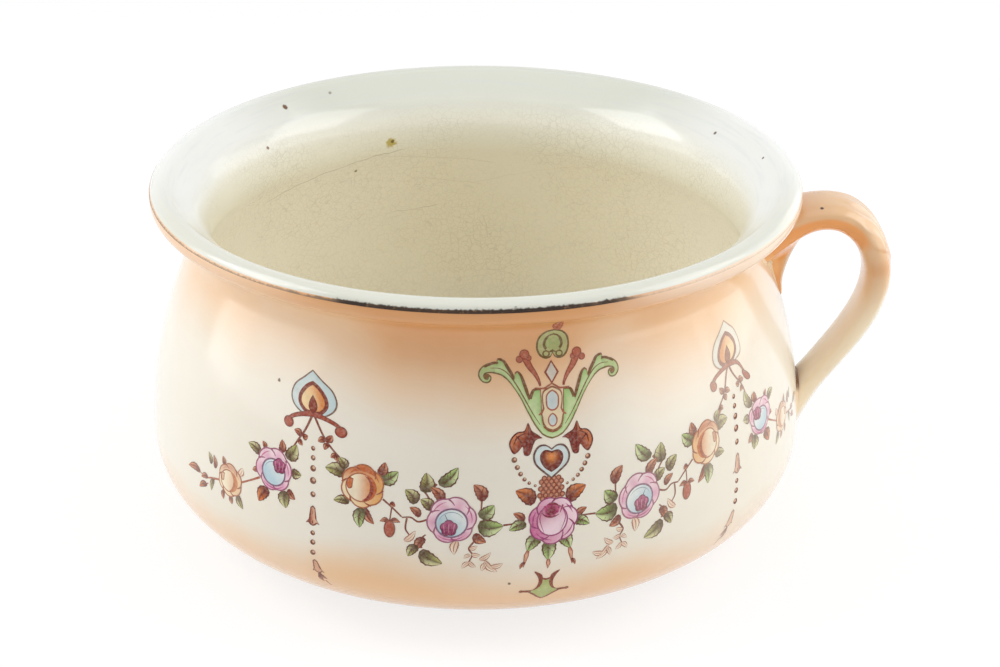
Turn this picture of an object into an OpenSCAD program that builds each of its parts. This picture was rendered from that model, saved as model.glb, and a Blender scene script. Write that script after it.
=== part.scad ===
// Chamber pot: a jolleyed earthenware bowl with a rolled lip and one moulded loop handle.
// Millimetres, +Z up. The origin is the middle of the foot ring, on the table. The handle stands on +X.

/* [Bowl] */
// Outside diameter over the lip
rim_d = 230; // [224:1:240]
// Height from the table to the top of the lip
pot_h = 130; // [122:1:145]
// Outside diameter of the belly at its widest
belly_d = 234; // [226:1:246]
// Height of the widest part of the belly
belly_z = 37; // [32:1:44]
// Outside diameter of the neck, just under the lip
neck_d = 200; // [194:1:206]
// Radius of the hollow between the neck and the lip
neck_hollow_r = 12; // [9:0.5:14]
// Thickness of the belly's wall
wall = 5; // [4:0.25:7]
// Thickness of the wall at the neck
neck_wall = 6; // [5:0.25:8]
// Thickness of the flat base
base_t = 6; // [4:0.25:9]
// Thickness of the rolled lip
lip_d = 9; // [7:0.25:11]

/* [Foot ring] */
// Outside diameter of the foot ring
foot_d = 148; // [136:1:160]
// Width of the foot ring's resting face and its two rounded edges
foot_w = 9; // [6:0.5:14]
// Height of the foot ring
foot_h = 3; // [2:0.25:5]
// Rounding of the foot ring's edges
foot_edge_r = 1; // [0.5:0.25:1.5]

/* [Rim line] */
// Width of the painted metal line round the lip
line_w = 2.2; // [1.5:0.1:3]
// Thickness of the fired metal line
line_t = 0.2; // [0.1:0.05:0.4]
// Where the middle of the line sits on the roll of the lip, in degrees above its outermost point
line_angle = 30; // [25:1:45]

/* [Handle] */
// How far the handle stands out past the widest part of the pot
handle_reach = 31.5; // [26:0.5:38]
// Height at which the handle is farthest out
handle_mid_z = 92; // [86:1:98]
// Height of the handle's centre line where it leaves the neck
handle_top_z = 102; // [98:1:106]
// Height of the handle's centre line where it enters the belly
handle_low_z = 31; // [28:1:36]
// Rise of the handle where it leaves the neck, in degrees
handle_rise = 41; // [35:1:46]
// Rise of the handle where it leaves the belly, in degrees
handle_lift = 59.5; // [54:0.5:63]
// How far the top limb pulls along its rise before it turns down
top_pull = 45; // [40:0.5:50]
// How far the handle pulls upright just above its farthest point
bend_pull = 11; // [8:0.5:15]
// How far the handle pulls upright just below its farthest point
low_bend_pull = 19.5; // [15:0.5:24]
// How far the lower limb pulls along its rise before it turns up
low_pull = 32.5; // [27:0.5:38]
// Width of the handle along its top limb
handle_top_w = 24; // [18:0.5:30]
// Width of the handle along its lower limb
handle_low_w = 18.5; // [14:0.5:24]
// Thickness of the handle at its bend
handle_t = 10; // [8:0.25:12]
// Thickness of the handle along its lower limb
handle_low_t = 8.5; // [7:0.25:10]
// Extra width and thickness where the handle meets the pot
root_swell = 4; // [2:0.5:6]
// Height of the leaf on the handle's shoulder
leaf_h = 1.2; // [0.6:0.1:2]

/* [Tongue] */
// Length of the tongue that runs down the neck below the handle
tongue_l = 22; // [16:1:26]
// How far the tongue stands out at its top
tongue_t = 21.5; // [16:0.5:23]
// Width of the tongue at its top
tongue_w = 20; // [14:0.5:24]
// Width of the tongue at its tip
tongue_tip_w = 5; // [3:0.5:8]

/* [Luting] */
// Thickness of the slip between the handle and the bowl
luting_t = 0.8; // [0.5:0.1:1.5]
// How far the slip is squeezed out round the handle's ends
luting_bead = 0.8; // [0.4:0.1:1.5]

/* [Hidden] */

// Colours of the glazes, the slip and the metal line
cream_glaze = [0.95, 0.91, 0.82];
tan_glaze = [0.88, 0.73, 0.55];
slip_glaze = [0.82, 0.55, 0.30];
worn_metal = [0.30, 0.22, 0.13];

// Steps along each stretch of the profile
belly_steps = 14;
shoulder_steps = 12;
neck_steps = 12;
lip_steps = 12;
line_steps = 4;
edge_steps = 4;

// Outer profile: the shoulder runs tangent into the hollow neck, and a straight flare joins the neck to the lip roll.
// The neck lies low enough for the flare to pass between the two, however far the lip stands out.
lip_r = lip_d / 2;
lip_cr = rim_d / 2 - lip_r;
lip_cz = pot_h - lip_r;
neck_r = neck_d / 2;
belly_r = belly_d / 2;
foot_r = foot_d / 2;
hollow_cr = neck_r + neck_hollow_r;
neck_drop = neck_hollow_r + max(lip_r, neck_wall - lip_r);
neck_z = lip_cz - neck_drop;
lip_way = atan2(neck_drop, lip_cr - hollow_cr);
lip_distance = norm([neck_drop, lip_cr - hollow_cr]);
shoulder_r = shoulder_radius(neck_hollow_r, hollow_cr, belly_r, neck_z);
shoulder_cr = belly_r - shoulder_r;
shoulder_end = atan2(neck_z - belly_z, hollow_cr - shoulder_cr);
hollow_end = lip_way + acos((neck_hollow_r + lip_r) / lip_distance);
lip_start = hollow_end - 180;
line_half = line_w / lip_r * 90 / PI;
line_from = line_angle - line_half;
line_to = line_angle + line_half;

// Inner profile: the throat keeps the neck's thickness, and a straight flare joins it to the top of the lip roll
throat_bend_r = neck_hollow_r + neck_wall;
throat_end = lip_way + acos((throat_bend_r - lip_r) / lip_distance);
inner_belly_r = belly_r - wall;
inner_shoulder_r = shoulder_radius(throat_bend_r, hollow_cr, inner_belly_r, neck_z);
inner_shoulder_cr = inner_belly_r - inner_shoulder_r;
inner_shoulder_end = atan2(neck_z - belly_z, hollow_cr - inner_shoulder_cr);
floor_z = foot_h + base_t;
floor_r = foot_r - wall;

// Handle: two Bezier spans that meet where the handle is farthest out, with ends buried in the bowl's wall
top_sink = 0.4 * handle_t;
low_sink = 0.75 * handle_t;
handle_x = max(rim_d, belly_d) / 2 + handle_reach - handle_t / 2;
top_root = [outer_r(handle_top_z) - top_sink, handle_top_z];
low_root = [outer_r(handle_low_z) - low_sink, handle_low_z];
bend = [handle_x, handle_mid_z];
top_span = [top_root, top_root + along(handle_rise, top_pull), bend + [0, bend_pull], bend];
low_span = [bend, bend - [0, low_bend_pull], low_root + along(handle_lift, low_pull), low_root];

// Places along the handle run from 0 at the neck through 1 at the bend to 2 at the belly
span_steps = 26;
handle_sides = 32;
corner_power = 0.72;
swell_share = 0.3;
narrow_from = 0.5;
narrow_to = 1.7;
thin_from = 0.8;
thin_to = 1.8;
leaf_from = 0.4;
leaf_to = 0.92;
leaf_side_cut = 0.2;
leaf_edge = 0.06;
tongue_steps = 14;
tongue_sides = 24;
tongue_curve = 1.6;
tongue_sink = 0.8 * handle_t;
tongue_root_z = handle_top_z + tongue_sink;
tongue_tip_z = handle_top_z - tongue_l;
luting_split = 0.75;
luting_split_z = mix(handle_low_z, tongue_tip_z, luting_split);

// The upper bed of slip stays below the lip's underside
luting_top_z = pot_h - lip_d - luting_t;

// Radius of an arc that leaves the belly upright and touches the arc above it
function shoulder_radius(arc_r, arc_cr, side_r, arc_cz) =
    (pow(arc_cr - side_r, 2) - pow(arc_r, 2) + pow(arc_cz - belly_z, 2)) / (2 * (arc_r - arc_cr + side_r));

// Points on an arc in the profile's plane
function arc(cr, cz, radius, from, to, steps) = [
    for (i = [0 : steps])
        let (a = from + (to - from) * i / steps)
        [cr + radius * cos(a), cz + radius * sin(a)]
];

// Points on a quarter ellipse that ends upright, from its lowest point up
function quarter_ellipse(cr, cz, semi_r, semi_z, steps) = [
    for (i = [0 : steps])
        let (a = 90 * i / steps)
        [cr + semi_r * sin(a), cz - semi_z * cos(a)]
];

// A list without its first point
function rest(points) = [for (i = [1 : len(points) - 1]) points[i]];

function along(angle, length) = length * [cos(angle), sin(angle)];

function mix(a, b, t) = a + (b - a) * t;

function ease(t) = let (c = min(1, max(0, t))) c * c * (3 - 2 * c);

// Outside radius of the bowl at a height between the foot ring and the neck
function outer_r(z) =
    z < belly_z
        ? foot_r + (belly_r - foot_r) * sqrt(1 - pow((belly_z - z) / (belly_z - foot_h), 2))
        : z < belly_z + shoulder_r * sin(shoulder_end)
            ? shoulder_cr + sqrt(pow(shoulder_r, 2) - pow(z - belly_z, 2))
            : hollow_cr - sqrt(pow(neck_hollow_r, 2) - pow(min(z, neck_z) - neck_z, 2));

// Outer profile from the foot ring up to the metal line, a given gap outside the clay
function outside(gap) = concat(
    quarter_ellipse(foot_r, belly_z, belly_r - foot_r + gap, belly_z - foot_h + gap, belly_steps),
    rest(arc(shoulder_cr, belly_z, shoulder_r + gap, 0, shoulder_end, shoulder_steps)),
    rest(arc(hollow_cr, neck_z, neck_hollow_r - gap, 180 + shoulder_end, hollow_end, neck_steps)),
    arc(lip_cr, lip_cz, lip_r + gap, lip_start, line_from, lip_steps)
);

// Stretch of the lip that carries the metal line
function line_arc(radius) = arc(lip_cr, lip_cz, radius, line_from, line_to, line_steps);

// Inner profile from the top of the lip down to the middle of the floor
function inside() = concat(
    rest(arc(lip_cr, lip_cz, lip_r, line_to, throat_end, lip_steps)),
    arc(hollow_cr, neck_z, throat_bend_r, throat_end, 180 + inner_shoulder_end, neck_steps),
    rest(arc(inner_shoulder_cr, belly_z, inner_shoulder_r, inner_shoulder_end, 0, shoulder_steps)),
    rest([
        for (i = [belly_steps : -1 : 0])
            quarter_ellipse(floor_r, belly_z, inner_belly_r - floor_r, belly_z - floor_z, belly_steps)[i]
    ]),
    [[0, floor_z]]
);

// Underside: the recess inside the foot ring, then the ring's rounded edges
function underside() = concat(
    [[0, foot_h], [foot_r - foot_w, foot_h]],
    arc(foot_r - foot_w + foot_edge_r, foot_edge_r, foot_edge_r, 180, 270, edge_steps),
    arc(foot_r - foot_edge_r, foot_edge_r, foot_edge_r, 270, 360, edge_steps)
);

function bezier(p, t) =
    pow(1 - t, 3) * p[0] + 3 * t * pow(1 - t, 2) * p[1] + 3 * t * t * (1 - t) * p[2] + pow(t, 3) * p[3];

function bezier_way(p, t) =
    3 * pow(1 - t, 2) * (p[1] - p[0]) + 6 * t * (1 - t) * (p[2] - p[1]) + 3 * t * t * (p[3] - p[2]);

// Point and direction on the handle's centre line
function centre(u) = u < 1 ? bezier(top_span, u) : bezier(low_span, u - 1);

function way(u) = let (d = u < 1 ? bezier_way(top_span, u) : bezier_way(low_span, u - 1)) d / norm(d);

// Share of the root's swelling left at a place along the handle
function swelling(u) = (1 - ease(u / swell_share)) + ease((u - 2 + swell_share) / swell_share);

function handle_width(u) =
    mix(handle_top_w, handle_low_w, ease((u - narrow_from) / (narrow_to - narrow_from))) + root_swell * swelling(u);

function handle_thickness(u) =
    mix(handle_t, handle_low_t, ease((u - thin_from) / (thin_to - thin_from))) + root_swell * swelling(u);

// Height of the leaf at a place along the handle, where across runs from -1 to 1 over its width
function leaf(u, across) =
    let (edge = leaf_to - leaf_side_cut * pow(across, 2))
    leaf_h * ease((u - leaf_from) / (leaf_to - leaf_from)) * (1 - ease((u - edge) / leaf_edge));

// Signed power, which squares off the oval section
function squared(v) = sign(v) * pow(abs(v), corner_power);

function handle_ring(u, grow) =
    let (c = centre(u), d = way(u), w = handle_width(u) / 2 + grow, t = handle_thickness(u) / 2 + grow)
    [
        for (i = [0 : handle_sides - 1])
            let (
                a = 360 * i / handle_sides,
                across = squared(cos(a)),
                out = t * squared(sin(a)) + (sin(a) > 0 ? leaf(u, across) * sin(a) : 0)
            )
            [c[0] - d[1] * out, w * across, c[1] + d[0] * out]
    ];

// Tongue of the handle, as flat ovals that shrink down the neck
function tongue_ring(f, grow) =
    let (
        z = mix(tongue_root_z, tongue_tip_z, f),
        t = tongue_t * pow(1 - f, tongue_curve) + grow,
        w = mix(tongue_w, tongue_tip_w, f) / 2 + grow
    )
    [
        for (i = [0 : tongue_sides - 1])
            let (a = 360 * i / tongue_sides)
            [outer_r(z) + t * cos(a), -w * sin(a), z]
    ];

// Closed solid through rings that have the same number of points and turn right-handed along the way
module loft(rings) {
    sides = len(rings[0]);
    last = len(rings) - 1;
    corners = [for (ring = rings) each ring];
    skin = [
        for (r = [0 : last - 1], i = [0 : sides - 1])
            let (
                a = r * sides + i,
                b = r * sides + (i + 1) % sides
            )
            each [[a, b + sides, b], [a, a + sides, b + sides]]
    ];
    start_cap = [for (i = [0 : sides - 1]) i];
    end_cap = [for (i = [sides - 1 : -1 : 0]) last * sides + i];
    polyhedron(corners, concat(skin, [start_cap, end_cap]));
}

// Clay of the handle before it is trimmed to the bowl
module handle_clay(grow = 0) {
    loft([for (i = [0 : 2 * span_steps]) handle_ring(i / span_steps, grow)]);
    loft([for (i = [0 : tongue_steps]) tongue_ring(i / (tongue_steps + 1), grow)]);
}

// Everything within a given gap of the bowl's outside, filled to the axis
module pot_envelope(gap) {
    rotate_extrude($fn = 180)
        polygon(concat(
            [[0, foot_h - gap]],
            outside(gap),
            rest(line_arc(lip_r + gap)),
            [[lip_cr, pot_h + gap], [0, pot_h + gap]]
        ));
}

module luting() {
    difference() {
        intersection() {
            handle_clay(luting_bead);
            pot_envelope(luting_t);
        }
        pot_envelope(0);
    }
}

// The space between two heights on the handle's side of the pot
module layer(from_z, to_z) {
    side = 2 * handle_x;
    translate([0, -side / 2, from_z])
        cube([side, side, to_z - from_z]);
}

module bowl() {
    color(cream_glaze)
        rotate_extrude($fn = 180)
            polygon(concat(underside(), outside(0), rest(line_arc(lip_r)), inside()));
}

module handle() {
    color(tan_glaze)
        difference() {
            handle_clay();
            pot_envelope(luting_t);
        }
}

module upper_luting() {
    color(slip_glaze)
        intersection() {
            luting();
            layer(luting_split_z, luting_top_z);
        }
}

module lower_luting() {
    color(slip_glaze)
        intersection() {
            luting();
            layer(0, luting_split_z);
        }
}

module rim_line() {
    outer_arc = line_arc(lip_r + line_t);
    color(worn_metal)
        rotate_extrude($fn = 180)
            polygon(concat(line_arc(lip_r), [for (i = [line_steps : -1 : 0]) outer_arc[i]]));
}

bowl();
handle();
upper_luting();
lower_luting();
rim_line();
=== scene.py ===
"""Chamber pot of cream earthenware: a turned bowl with a rolled lip and a moulded loop handle.

A peach blush is sprayed under the lip and round the base, rose swags are printed on two sides, and a metal
line that has tarnished and worn runs round the lip. Sizes are in millimetres, as on a potter's drawing, and
MM turns them into metres. +Z is up, and the handle stands on +X.
"""

import math

import bmesh
import bpy
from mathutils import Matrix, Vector
from mathutils.bvhtree import BVHTree


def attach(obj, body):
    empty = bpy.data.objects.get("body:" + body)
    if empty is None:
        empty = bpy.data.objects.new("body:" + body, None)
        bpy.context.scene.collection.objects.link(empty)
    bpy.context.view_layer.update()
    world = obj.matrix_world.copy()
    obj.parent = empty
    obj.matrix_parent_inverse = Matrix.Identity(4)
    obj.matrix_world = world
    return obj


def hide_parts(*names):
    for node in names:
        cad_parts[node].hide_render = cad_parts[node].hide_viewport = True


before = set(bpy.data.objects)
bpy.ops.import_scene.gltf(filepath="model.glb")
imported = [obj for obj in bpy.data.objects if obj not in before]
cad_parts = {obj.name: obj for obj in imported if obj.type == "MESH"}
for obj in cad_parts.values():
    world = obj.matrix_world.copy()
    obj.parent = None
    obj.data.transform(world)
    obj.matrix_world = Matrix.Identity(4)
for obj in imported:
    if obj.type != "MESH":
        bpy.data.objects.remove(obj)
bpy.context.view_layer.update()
MM = 0.001

# Bowl
RIM_R = 115.0
POT_H = 130.0
BELLY_R = 117.0
BELLY_Z = 37.0
NECK_R = 100.0
HOLLOW_R = 12.0
WALL = 5.0
NECK_WALL = 6.0
LIP_R = 4.5
FOOT_R = 74.0
FOOT_W = 9.0
FOOT_H = 3.0
FOOT_EDGE_R = 1.0
FLOOR_Z = 9.0
GLAZE_FILLET = 0.8
BOWL_SIDES = 300
BELLY_STEPS = 60

# Metal line round the lip: where it lies on the roll in degrees, then its thickness and how far it is sunk
LINE_FROM = 16.0
LINE_TO = 44.0
LINE_T = 0.12
LINE_SINK = 0.1

# Handle
HANDLE_OUT = 143.5
HANDLE_MID_Z = 92.0
HANDLE_TOP_Z = 102.0
HANDLE_LOW_Z = 31.0
HANDLE_RISE = 41.0
HANDLE_LIFT = 59.5
TOP_PULL = 45.0
BEND_PULL = 11.0
LOW_BEND_PULL = 19.5
LOW_PULL = 32.5
TOP_SINK = 4.0
LOW_SINK = 7.5
HANDLE_TOP_W = 24.0
HANDLE_LOW_W = 18.5
HANDLE_T = 10.0
HANDLE_LOW_T = 8.5
ROOT_SWELL = 4.0
SWELL_SHARE = 0.3
CORNER_POWER = 0.72
LEAF_H = 0.58
TONGUE_TOP_Z = 110.0
TONGUE_TIP_Z = 80.0
TONGUE_T = 21.5
TONGUE_W = 20.0
TONGUE_TIP_W = 5.0
TONGUE_CURVE = 1.6
CLAY_GRAIN = 0.6
TRIM_DEPTH = 1.5

# Zones of the handle's glaze, kept on its points: under holds painted shade, groove painted shade at the
# leaf's tip, pale painted highlights
HANDLE_ZONES = ("under", "root", "groove", "pale")

# Joints of the handle, and the slip that is squeezed out of them
JOINT_H = 0.3
BETWEEN_JOINTS_Z = 60.0
SLIP_SINK = 0.6
SLIP_STEPS = 6

# Print: where its axis stands, in degrees from the front, and how far it is out of true
PRINT_ANGLE = 11.75
PRINT_CLIMB = 0.03
PRINT_LEAN = 0.05
ORNAMENT_TILT = 0.08

# Studio, in metres: WORLD_LIGHT is the share of full white that the surroundings give as light
WORLD_LIGHT = 0.33
PAPER_HALF = 4.0
POT_MIDDLE = Vector((0, 0, 0.09))

# Soft boxes: name, place, width, height and power
LAMPS = [
    ("left_panel", (-1.09, -0.12, 0.45), 1.1, 1.1, 4.0),
    ("right_panel", (1.1, 0.0, 0.45), 1.1, 1.1, 1.0),
    ("right_back_panel", (0.9, 0.55, 0.3), 0.9, 0.6, 1.4),
    ("right_front_panel", (1.0, -0.45, 0.45), 1.1, 1.1, 2.45),
    ("left_softbox", (-0.8, 0.1, 0.1), 0.25, 0.3, 0.1),
    ("right_softbox", (0.8, 0.0, 0.1), 0.12, 0.34, 0.12),
    ("low_right_softbox", (0.66, -0.28, 0.12), 0.4, 0.24, 0.2),
    ("left_window", (-0.92, -0.02, 0.92), 0.7, 0.7, 5.0),
    ("right_window", (0.92, -0.05, 0.9), 0.8, 0.7, 4.1),
    ("top_softbox", (0.0, 0.0, 1.3), 1.2, 1.2, 2.6),
]


# Profile of the bowl

HOLLOW_CR = NECK_R + HOLLOW_R
LIP_CR = RIM_R - LIP_R
LIP_CZ = POT_H - LIP_R
NECK_Z = LIP_CZ - HOLLOW_R - LIP_R
LIP_WAY = math.degrees(math.atan2(LIP_CZ - NECK_Z, LIP_CR - HOLLOW_CR))
LIP_DISTANCE = math.hypot(LIP_CZ - NECK_Z, LIP_CR - HOLLOW_CR)
HOLLOW_END = LIP_WAY + math.degrees(math.acos((HOLLOW_R + LIP_R) / LIP_DISTANCE))
THROAT_BEND_R = HOLLOW_R + NECK_WALL
THROAT_END = LIP_WAY + math.degrees(math.acos((THROAT_BEND_R - LIP_R) / LIP_DISTANCE))


def shoulder_radius(arc_r, side_r):
    """Radius of an arc that leaves the belly upright and touches the arc of the neck."""
    rise = NECK_Z - BELLY_Z
    return ((HOLLOW_CR - side_r) ** 2 - arc_r ** 2 + rise ** 2) / (2 * (arc_r - HOLLOW_CR + side_r))


SHOULDER_R = shoulder_radius(HOLLOW_R, BELLY_R)
SHOULDER_CR = BELLY_R - SHOULDER_R
SHOULDER_END = math.degrees(math.atan2(NECK_Z - BELLY_Z, HOLLOW_CR - SHOULDER_CR))
INNER_BELLY_R = BELLY_R - WALL
INNER_SHOULDER_R = shoulder_radius(THROAT_BEND_R, INNER_BELLY_R)
INNER_SHOULDER_CR = INNER_BELLY_R - INNER_SHOULDER_R
INNER_SHOULDER_END = math.degrees(math.atan2(NECK_Z - BELLY_Z, HOLLOW_CR - INNER_SHOULDER_CR))


def arc(cr, cz, radius, start, end, steps):
    """Points on an arc in the profile's plane, with angles in degrees."""
    angles = [math.radians(start + (end - start) * i / steps) for i in range(steps + 1)]
    return [(cr + radius * math.cos(a), cz + radius * math.sin(a)) for a in angles]


def quarter_ellipse(cr, semi_r, semi_z, steps):
    """Points from the lowest point of the belly up to its widest line."""
    angles = [math.pi / 2 * i / steps for i in range(steps + 1)]
    return [(cr + semi_r * math.sin(a), BELLY_Z - semi_z * math.cos(a)) for a in angles]


def outside_profile():
    """Outside of the bowl from the foot ring up to the lip's underside."""
    belly = quarter_ellipse(FOOT_R, BELLY_R - FOOT_R, BELLY_Z - FOOT_H, BELLY_STEPS)
    shoulder = arc(SHOULDER_CR, BELLY_Z, SHOULDER_R, 0, SHOULDER_END, 50)
    hollow = arc(HOLLOW_CR, NECK_Z, HOLLOW_R, 180 + SHOULDER_END, HOLLOW_END, 28)
    return belly + shoulder[1:] + hollow[1:]


def foot_profile():
    """Underside from the axis to the outer corner of the foot ring, with glaze pooled in its corners."""
    inner = FOOT_R - FOOT_W
    recess = [(inner * i / 12, FOOT_H) for i in range(12)]
    recess += arc(inner - GLAZE_FILLET, FOOT_H - GLAZE_FILLET, GLAZE_FILLET, 90, 0, 5)
    ring = arc(inner + FOOT_EDGE_R, FOOT_EDGE_R, FOOT_EDGE_R, 180, 270, 6)
    ring += arc(FOOT_R - FOOT_EDGE_R, FOOT_EDGE_R, FOOT_EDGE_R, 270, 360, 6)
    pool = arc(FOOT_R + GLAZE_FILLET, FOOT_H - GLAZE_FILLET * 0.9, GLAZE_FILLET, 180, 100, 5)
    return recess + ring + pool


def inside_profile():
    """Inside from the metal line over the lip and down to the middle of the floor."""
    lip = arc(LIP_CR, LIP_CZ, LIP_R, 30, THROAT_END, 18)
    throat = arc(HOLLOW_CR, NECK_Z, THROAT_BEND_R, THROAT_END, 180 + INNER_SHOULDER_END, 26)
    shoulder = arc(INNER_SHOULDER_CR, BELLY_Z, INNER_SHOULDER_R, INNER_SHOULDER_END, 0, 40)
    floor_r = FOOT_R - WALL
    belly = quarter_ellipse(floor_r, INNER_BELLY_R - floor_r, BELLY_Z - FLOOR_Z, 36)[::-1]
    floor = [(floor_r * (1 - i / 12), FLOOR_Z) for i in range(1, 13)]
    return lip + throat + shoulder[1:] + belly[1:] + floor


def outside_radius(z):
    """Outside radius of the bowl at a height between the foot ring and the neck."""
    if z < BELLY_Z:
        drop = min(1.0, (BELLY_Z - z) / (BELLY_Z - FOOT_H))
        return FOOT_R + (BELLY_R - FOOT_R) * math.sqrt(1 - drop ** 2)
    if z < BELLY_Z + SHOULDER_R * math.sin(math.radians(SHOULDER_END)):
        return SHOULDER_CR + math.sqrt(SHOULDER_R ** 2 - (z - BELLY_Z) ** 2)
    away = min(HOLLOW_R, abs(z - NECK_Z))
    return HOLLOW_CR - math.sqrt(HOLLOW_R ** 2 - away ** 2)


def bowl_normal(point):
    """Outward direction of the bowl's outside near a point of the joint."""
    step = 0.05
    slope = (outside_radius(point.z + step) - outside_radius(point.z - step)) / (2 * step)
    around = Vector((point.x, point.y, 0)).normalized()
    return (around - Vector((0, 0, slope))).normalized()


def height_over_bowl(point):
    """Distance of a point in front of the bowl's outside, negative within the wall."""
    gap = math.hypot(point.x, point.y) - outside_radius(point.z)
    around = Vector((point.x, point.y, 0)).normalized()
    return gap * bowl_normal(point).dot(around)


def clamped(t):
    return min(1.0, max(0.0, t))


def ease(t):
    """Smooth step from 0 to 1."""
    t = clamped(t)
    return t * t * (3 - 2 * t)


def mix(a, b, t):
    return a + (b - a) * t


def blend(a, b, t):
    """Colour between two colours."""
    return tuple(mix(x, y, t) for x, y in zip(a, b))


def paint(red, green, blue):
    """Linear colour of a paint that is given as it looks on a screen, 0 to 255."""
    shares = [c / 255 for c in (red, green, blue)]
    return tuple(s / 12.92 if s <= 0.04045 else ((s + 0.055) / 1.055) ** 2.4 for s in shares)


# Node trees

def fill(tree, made, sockets):
    """Links or fills the inputs of a node by name or number."""
    for key, value in sockets.items():
        if isinstance(value, bpy.types.NodeSocket):
            tree.links.new(value, made.inputs[key])
        else:
            made.inputs[key].default_value = value


def node(tree, kind, sockets=None, **options):
    """Adds a node, sets its options, and links or fills its inputs."""
    made = tree.nodes.new(kind)
    for option, value in options.items():
        setattr(made, option, value)
    fill(tree, made, sockets or {})
    return made


def reckon(tree, operation, a, b=0.0, c=0.0):
    """A sum of one or more numbers that vary over the piece."""
    return node(tree, "ShaderNodeMath", {0: a, 1: b, 2: c}, operation=operation).outputs[0]


def times(tree, a, b, more=0.0):
    """a times b, and more on top."""
    return reckon(tree, "MULTIPLY_ADD", a, b, more)


def plus(tree, a, b):
    return reckon(tree, "ADD", a, b)


def minus(tree, a, b):
    return reckon(tree, "SUBTRACT", a, b)


def ramp(tree, value, low, high):
    """0 below low, 1 above high, and a smooth step between them."""
    sockets = {"Value": value, "From Min": low, "From Max": high}
    return node(tree, "ShaderNodeMapRange", sockets, interpolation_type="SMOOTHSTEP").outputs["Result"]


def fade(tree, value, low, high):
    """1 below low, 0 above high, and a smooth step between them."""
    return minus(tree, 1.0, ramp(tree, value, low, high))


def tint(tree, share, first, second, blend_type="MIX"):
    """Colour mixed from two colours, by a share that varies over the piece."""
    made = node(tree, "ShaderNodeMix", data_type="RGBA", blend_type=blend_type)
    for number, value in ((0, share), (6, first), (7, second)):
        fill(tree, made, {number: (*value, 1.0) if isinstance(value, tuple) else value})
    return made.outputs[2]


def split(tree, vector):
    """X, Y and Z of a place, a direction or a colour."""
    return node(tree, "ShaderNodeSeparateXYZ", {0: vector}).outputs


def here(tree):
    """Place on the pot, in metres."""
    return node(tree, "ShaderNodeTexCoord").outputs["Object"]


def noise(tree, place, scale, detail, output="Fac"):
    """Cloudy pattern from 0 to 1."""
    sockets = {"Vector": place, "Scale": scale, "Detail": detail}
    return node(tree, "ShaderNodeTexNoise", sockets).outputs[output]


def new_tree(name, kind, inputs, outputs):
    """Empty node group with named sockets, given as (name, socket type, default) and (name, socket type)."""
    tree = bpy.data.node_groups.new(name, kind)
    for label, socket_type, default in inputs:
        socket = tree.interface.new_socket(label, in_out="INPUT", socket_type=socket_type)
        if default is not None:
            socket.default_value = default
    for label, socket_type in outputs:
        tree.interface.new_socket(label, in_out="OUTPUT", socket_type=socket_type)
    return tree, tree.nodes.new("NodeGroupInput").outputs, tree.nodes.new("NodeGroupOutput").inputs


def effect_tree(name, inputs, output):
    """Empty shader effect with one number as its result. An input without a default takes a place."""
    sockets = []
    for label, default in inputs.items():
        socket_type = "NodeSocketVector" if default is None else "NodeSocketFloat"
        sockets.append((label, socket_type, default))
    tree, given, result = new_tree(name, "ShaderNodeTree", sockets, [(output, "NodeSocketFloat")])
    return tree, given, result[output]


def kept_number(tree, name):
    """Number that is kept under a name on the points of a shape."""
    return node(tree, "GeometryNodeInputNamedAttribute", {"Name": name}, data_type="FLOAT").outputs[0]


def stored(tree, shape, name, value, data_type, domain):
    """Shape with a value kept on it under a name."""
    sockets = {"Geometry": shape, "Name": name, "Value": value}
    options = {"data_type": data_type, "domain": domain}
    return node(tree, "GeometryNodeStoreNamedAttribute", sockets, **options).outputs[0]


def swung(tree, radius, angle, height):
    """Place at a distance from the axis, an angle round it from the front, and a height."""
    x = times(tree, radius, reckon(tree, "SINE", angle))
    y = times(tree, radius, times(tree, reckon(tree, "COSINE", angle), -1.0))
    return node(tree, "ShaderNodeCombineXYZ", {0: x, 1: y, 2: height}).outputs[0]


def hand_over(tree, shape, material, result):
    """Ends a geometry tree: the shape is smoothed, made real and given its material."""
    smooth = node(tree, "GeometryNodeSetShadeSmooth", {"Geometry": shape})
    whole = node(tree, "GeometryNodeRealizeInstances", {"Geometry": smooth.outputs[0]})
    dressed = node(tree, "GeometryNodeSetMaterial", {"Geometry": whole.outputs[0], "Material": material})
    tree.links.new(dressed.outputs[0], result)


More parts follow.
